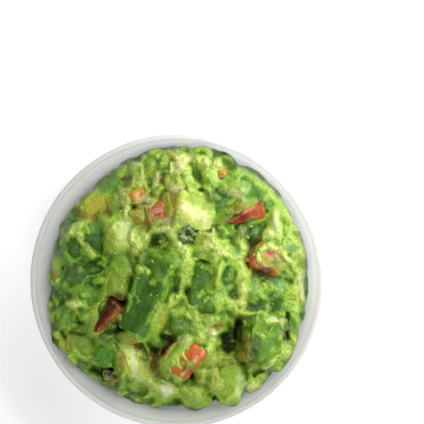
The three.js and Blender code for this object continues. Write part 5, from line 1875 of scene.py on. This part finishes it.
mash_tint = tints(sampled(tone, x, y), sampled(olive, x, y))
# the tint takes the patches, then the painted shade of gaps and creases
mash_tint = painted(mash_tint, x, y, PATCHES) * sampled(shade, x, y)[:, None]
rim_ring = surface[ring_start(RINGS) :]
under = []
for share in np.linspace(1, 0, HIDDEN_RINGS + 2)[1:-1]:
    r = np.hypot(rim_ring[:, 0], rim_ring[:, 1]) * share
    z = np.interp(r, inside_wall[:, 0], inside_wall[:, 1]) + OVER_FLOOR
    z = np.minimum(z, rim_ring[:, 2] - 0.3)
    under.append(np.stack([rim_ring[:, 0] * share, rim_ring[:, 1] * share, z], axis=-1))
bottom = np.array([[0, 0, inside_wall[0, 1] + OVER_FLOOR]])
mash_points = np.vstack([surface, *under, bottom])
count = len(rim_ring)
rows = [ring_start(RINGS)] + [len(surface) + k * count for k in range(HIDDEN_RINGS)]
skirt = np.vstack([band(one, other, count) for one, other in zip(rows, rows[1:])])
cap = band(rows[-1], len(mash_points) - 1, count)[:, :3]
cap[:, 2] = len(mash_points) - 1
hidden_tint = np.tile(tints(np.array([HIDDEN_TONE])), (len(mash_points) - len(surface), 1))
all_tint = np.vstack([mash_tint, hidden_tint])
mash = make_piece("mash_heap", mash_points, [top_faces, skirt, cap], mash_finish, all_tint)
declare(mash, "mash", "mash")
print("mash:", len(mash_points), "points,", len(top_faces) + 2 * len(skirt) + len(cap), "triangles")

# %% [markdown]
# ## Crumbs
#
# Mixing leaves small bits of mash on the cut faces. A particle system could scatter them, but it is made
# for thousands. Here each of a few dozen is a ball of 80 faces, stretched, turned, pulled out of shape by
# noise and set on whatever is below it. All of them are one mesh.


# %% Crumbs
CRUMB_COUNT = 60
CRUMB_REACH = 54
SUNK_LIMIT = 0.15  # crumbs that would fall into a gap are left out


def small_ball():
    """A ball of 42 points and 80 faces: a regular solid of 12 points whose edges are halved once."""
    g = (1 + 5**0.5) / 2
    corners = [(-1, g, 0), (1, g, 0), (-1, -g, 0), (1, -g, 0), (0, -1, g), (0, 1, g), (0, -1, -g)]
    corners += [(0, 1, -g), (g, 0, -1), (g, 0, 1), (-g, 0, -1), (-g, 0, 1)]
    points = [np.array(c, float) / math.hypot(*c) for c in corners]
    faces = [(0, 11, 5), (0, 5, 1), (0, 1, 7), (0, 7, 10), (0, 10, 11), (1, 5, 9), (5, 11, 4), (11, 10, 2)]
    faces += [(10, 7, 6), (7, 1, 8), (3, 9, 4), (3, 4, 2), (3, 2, 6), (3, 6, 8), (3, 8, 9), (4, 9, 5)]
    faces += [(2, 4, 11), (6, 2, 10), (8, 6, 7), (9, 8, 1)]
    middles, halved = {}, []
    for a, b, c in faces:
        ring = []
        for pair in ((a, b), (b, c), (c, a)):
            key = tuple(sorted(pair))
            if key not in middles:
                middle = points[pair[0]] + points[pair[1]]
                middles[key] = len(points)
                points.append(middle / np.linalg.norm(middle))
            ring.append(middles[key])
        halved += [(a, ring[0], ring[2]), (b, ring[1], ring[0]), (c, ring[2], ring[1]), tuple(ring)]
    return np.array(points), np.array(halved)


ball, ball_faces = small_ball()
i = np.arange(CRUMB_COUNT)
away, angle = CRUMB_REACH * np.sqrt(draw(i + 7000)), 2 * np.pi * draw(i + 7100)
x, y = away * np.cos(angle), away * np.sin(angle)
held = sampled(sunk, x, y) < SUNK_LIMIT
x, y, i = x[held], y[held], i[held]
size = 0.35 + 0.6 * draw(i + 7200) ** 2
stretch = 1 + 0.9 * draw(i + 7300)
spin = 2 * np.pi * draw(i + 7400)
top = np.maximum(sampled(height, x, y), sampled(piece_top, x, y)) + 0.3 * size
long, wide, tall = ball.T[:, None, :] * np.stack([size * stretch, size, 0.7 * size])[:, :, None]
cos, sin = np.cos(spin)[:, None], np.sin(spin)[:, None]
crumb_points = np.stack(
    [long * cos - wide * sin + x[:, None], long * sin + wide * cos + y[:, None], tall + top[:, None]],
    axis=-1,
).reshape(-1, 3)
wobble = 0.35 * noise(crumb_points, 1.1, 77)
crumb_points += wobble[:, None] * np.tile(ball, (len(i), 1)) * np.repeat(size, len(ball))[:, None]
crumb_faces = (ball_faces[None] + (np.arange(len(i)) * len(ball))[:, None, None]).reshape(-1, 3)
crumb_tone = np.repeat(0.5 + 0.3 * draw(i + 7500), len(ball))
crumbs = make_piece("mash_crumbs", crumb_points, [crumb_faces], mash_finish, tints(crumb_tone))
declare(crumbs, "mash")
print("crumbs:", len(i))

# %% [markdown]
# ## The leaf
#
# One torn leaf of cilantro lies near the middle, dark and crinkled by the juice. A plane with a leaf image
# would be flat and would need that image. Here a disc gets a lobed outline, noise folds it, and a copy
# below gives it thickness. Noise darkens it nearly to black in spots and puts a pale glint, a painted
# highlight, on others.

# %% Leaf
LEAF_LENGTH, LEAF_WIDTH, LEAF_THICKNESS = 11.0, 9.0, 0.5
LEAF_AT, LEAF_HEADING, LEAF_RISE = (5.0, 20.6), 24, 4.0
LEAF_TILT, LEAF_PITCH = math.degrees(0.1), -math.degrees(0.08)
LEAF_RINGS = 14
LEAF_GREEN = linear(84, 112, 46)
# the glint is a painted highlight in the tint
LEAF_GLINT = linear(120, 130, 84)
lx, ly, leaf_faces = disc(LEAF_RINGS)
leaf_angle = np.arctan2(ly, lx)
reach = 0.8 + 0.11 * np.cos(5 * leaf_angle + 0.6) + 0.07 * np.cos(11 * leaf_angle)
lx, ly = lx * reach * LEAF_LENGTH / 2, ly * reach * LEAF_WIDTH / 2
leaf_flat = np.stack([lx, ly, 0 * lx], axis=-1)
fold = np.clip(2.2 * np.abs(rough(leaf_flat, 3.2, 19, 2)), 0, 1) ** 0.7
wave = 0.9 * fold - 0.4 + 0.5 * (0.9 * rough(leaf_flat, 4, 15))
upper = np.stack([lx, ly, wave + LEAF_THICKNESS / 2], axis=-1)
leaf_points = np.vstack([upper, upper - (0, 0, LEAF_THICKNESS)])
leaf_rim = ring_start(LEAF_RINGS)
leaf_edge = band(leaf_rim, leaf_rim + len(lx), len(lx) - leaf_rim)
leaf_matrix = turning(LEAF_HEADING, LEAF_TILT, LEAF_PITCH)
leaf_points = leaf_points @ leaf_matrix.T + place_of(LEAF_AT, (0, 0, 0), LEAF_RISE)
vein = rough(leaf_points, 1.6, 23, 2)[:, None]
leaf_tint = LEAF_GREEN * (1 - 0.9 * ease(0.1, 0.45, vein)) + LEAF_GLINT * ease(-0.15, -0.5, vein)
all_faces = [leaf_faces, leaf_faces[:, ::-1] + len(lx), leaf_edge]
leaf = make_piece("cilantro_leaf_blade", leaf_points, all_faces, leaf_finish, leaf_tint)
declare(leaf, "leaf", "cilantro_leaf")
print("leaf:", len(leaf_points), "points")

# %% [markdown]
# ## Floor
#
# The ground is white and fades out of sight. A backdrop bent up at the back could do that for one view. A
# large pale plane that glows a little does it for every view from above.

# %% Floor
FLOOR_SIZE = 6
floor_material = bpy.data.materials.new("pale_floor")
floor_material.use_nodes = True
floor_shader = floor_material.node_tree.nodes["Principled BSDF"]
floor_shader.inputs["Base Color"].default_value = (0.9, 0.9, 0.9, 1)
floor_shader.inputs["Roughness"].default_value = 0.9
floor_shader.inputs["Emission Color"].default_value = (1, 1, 1, 1)
floor_shader.inputs["Emission Strength"].default_value = 0.30
bpy.ops.mesh.primitive_plane_add(size=FLOOR_SIZE)
floor = bpy.context.object
floor.name = "floor"
floor.data.materials.append(floor_material)
print("floor:", FLOOR_SIZE, "m wide")

# %% [markdown]
# ## Light
#
# Low light from the right and from behind gives long shadows in the gaps and glints on the juice. An
# image of a studio could light the scene too. Flat lamps say plainly where each light comes from: two low
# ones, a high one, a small one for sharp glints, and a large one far off that opens the shadows.

# %% Light
WORLD_STRENGTH = 0.02
LAMP_TARGET = Vector((0, 0, 0.05))
SOFTBOXES = {
    # name: azimuth from +X towards +Y, elevation, distance, width, height, power in watts
    "key_right": (15, 15, 0.4, 0.24, 0.2, 0.90),
    "key_back": (60, 15, 0.4, 0.36, 0.2, 0.90),
    "high": (50, 60, 0.4, 0.36, 0.2, 0.62),
    "glint": (40, 62, 0.5, 0.05, 0.05, 0.35),
    "fill": (255, 62, 1.2, 0.8, 0.5, 8.0),
}
world = bpy.data.worlds.new("soft_studio")
bpy.context.scene.world = world
world.use_nodes = True
world.node_tree.nodes["Background"].inputs["Color"].default_value = (1, 1, 1, 1)
world.node_tree.nodes["Background"].inputs["Strength"].default_value = WORLD_STRENGTH


def softbox(name, azimuth, elevation, distance, width, height, power):
    """A flat lamp that looks at the bowl."""
    a, e = math.radians(azimuth), math.radians(elevation)
    lamp = bpy.data.lights.new(name, "AREA")
    lamp.shape = "RECTANGLE"
    lamp.size = width
    lamp.size_y = height
    lamp.energy = power
    light = bpy.data.objects.new(name, lamp)
    way = Vector((math.cos(a) * math.cos(e), math.sin(a) * math.cos(e), math.sin(e)))
    light.location = way * distance + LAMP_TARGET
    light.rotation_euler = (-way).to_track_quat("-Z", "Y").to_euler()
    bpy.context.scene.collection.objects.link(light)


for name, values in SOFTBOXES.items():
    softbox(name, *values)
print("lamps:", ", ".join(SOFTBOXES))

# %% [markdown]
# ## Camera
#
# The bowl is seen from straight above, from far enough that its rim hides little of the wall. The lens
# follows from the width to cover at the height of the rim, so the camera can be moved up or down without
# changing the bowl's size.

# %% Camera
CAMERA_HEIGHT = 0.70
SENSOR_WIDTH = 36
FRAME_PIXELS = 424
RIM_PIXELS = 294  # width of the rim in a picture of that many pixels
BOWL_PIXEL = (177, 281)  # and the pixel on the bowl's axis, from the upper left
MM_PER_PIXEL = 2 * RIM_RADIUS / RIM_PIXELS
camera_data = bpy.data.cameras.new("camera")
camera = bpy.data.objects.new("camera", camera_data)
bpy.context.scene.collection.objects.link(camera)
bpy.context.scene.camera = camera
camera.location = (
    (FRAME_PIXELS / 2 - BOWL_PIXEL[0]) * MM_PER_PIXEL * MM,
    (BOWL_PIXEL[1] - FRAME_PIXELS / 2) * MM_PER_PIXEL * MM,
    BOWL_HEIGHT * MM + CAMERA_HEIGHT,
)
camera_data.sensor_width = SENSOR_WIDTH
camera_data.lens = SENSOR_WIDTH * CAMERA_HEIGHT / (FRAME_PIXELS * MM_PER_PIXEL * MM)
camera_data.clip_start = 0.05
camera_data.clip_end = 20
bpy.context.scene.view_settings.view_transform = "Standard"
print(f"lens: {camera_data.lens:.0f} mm")
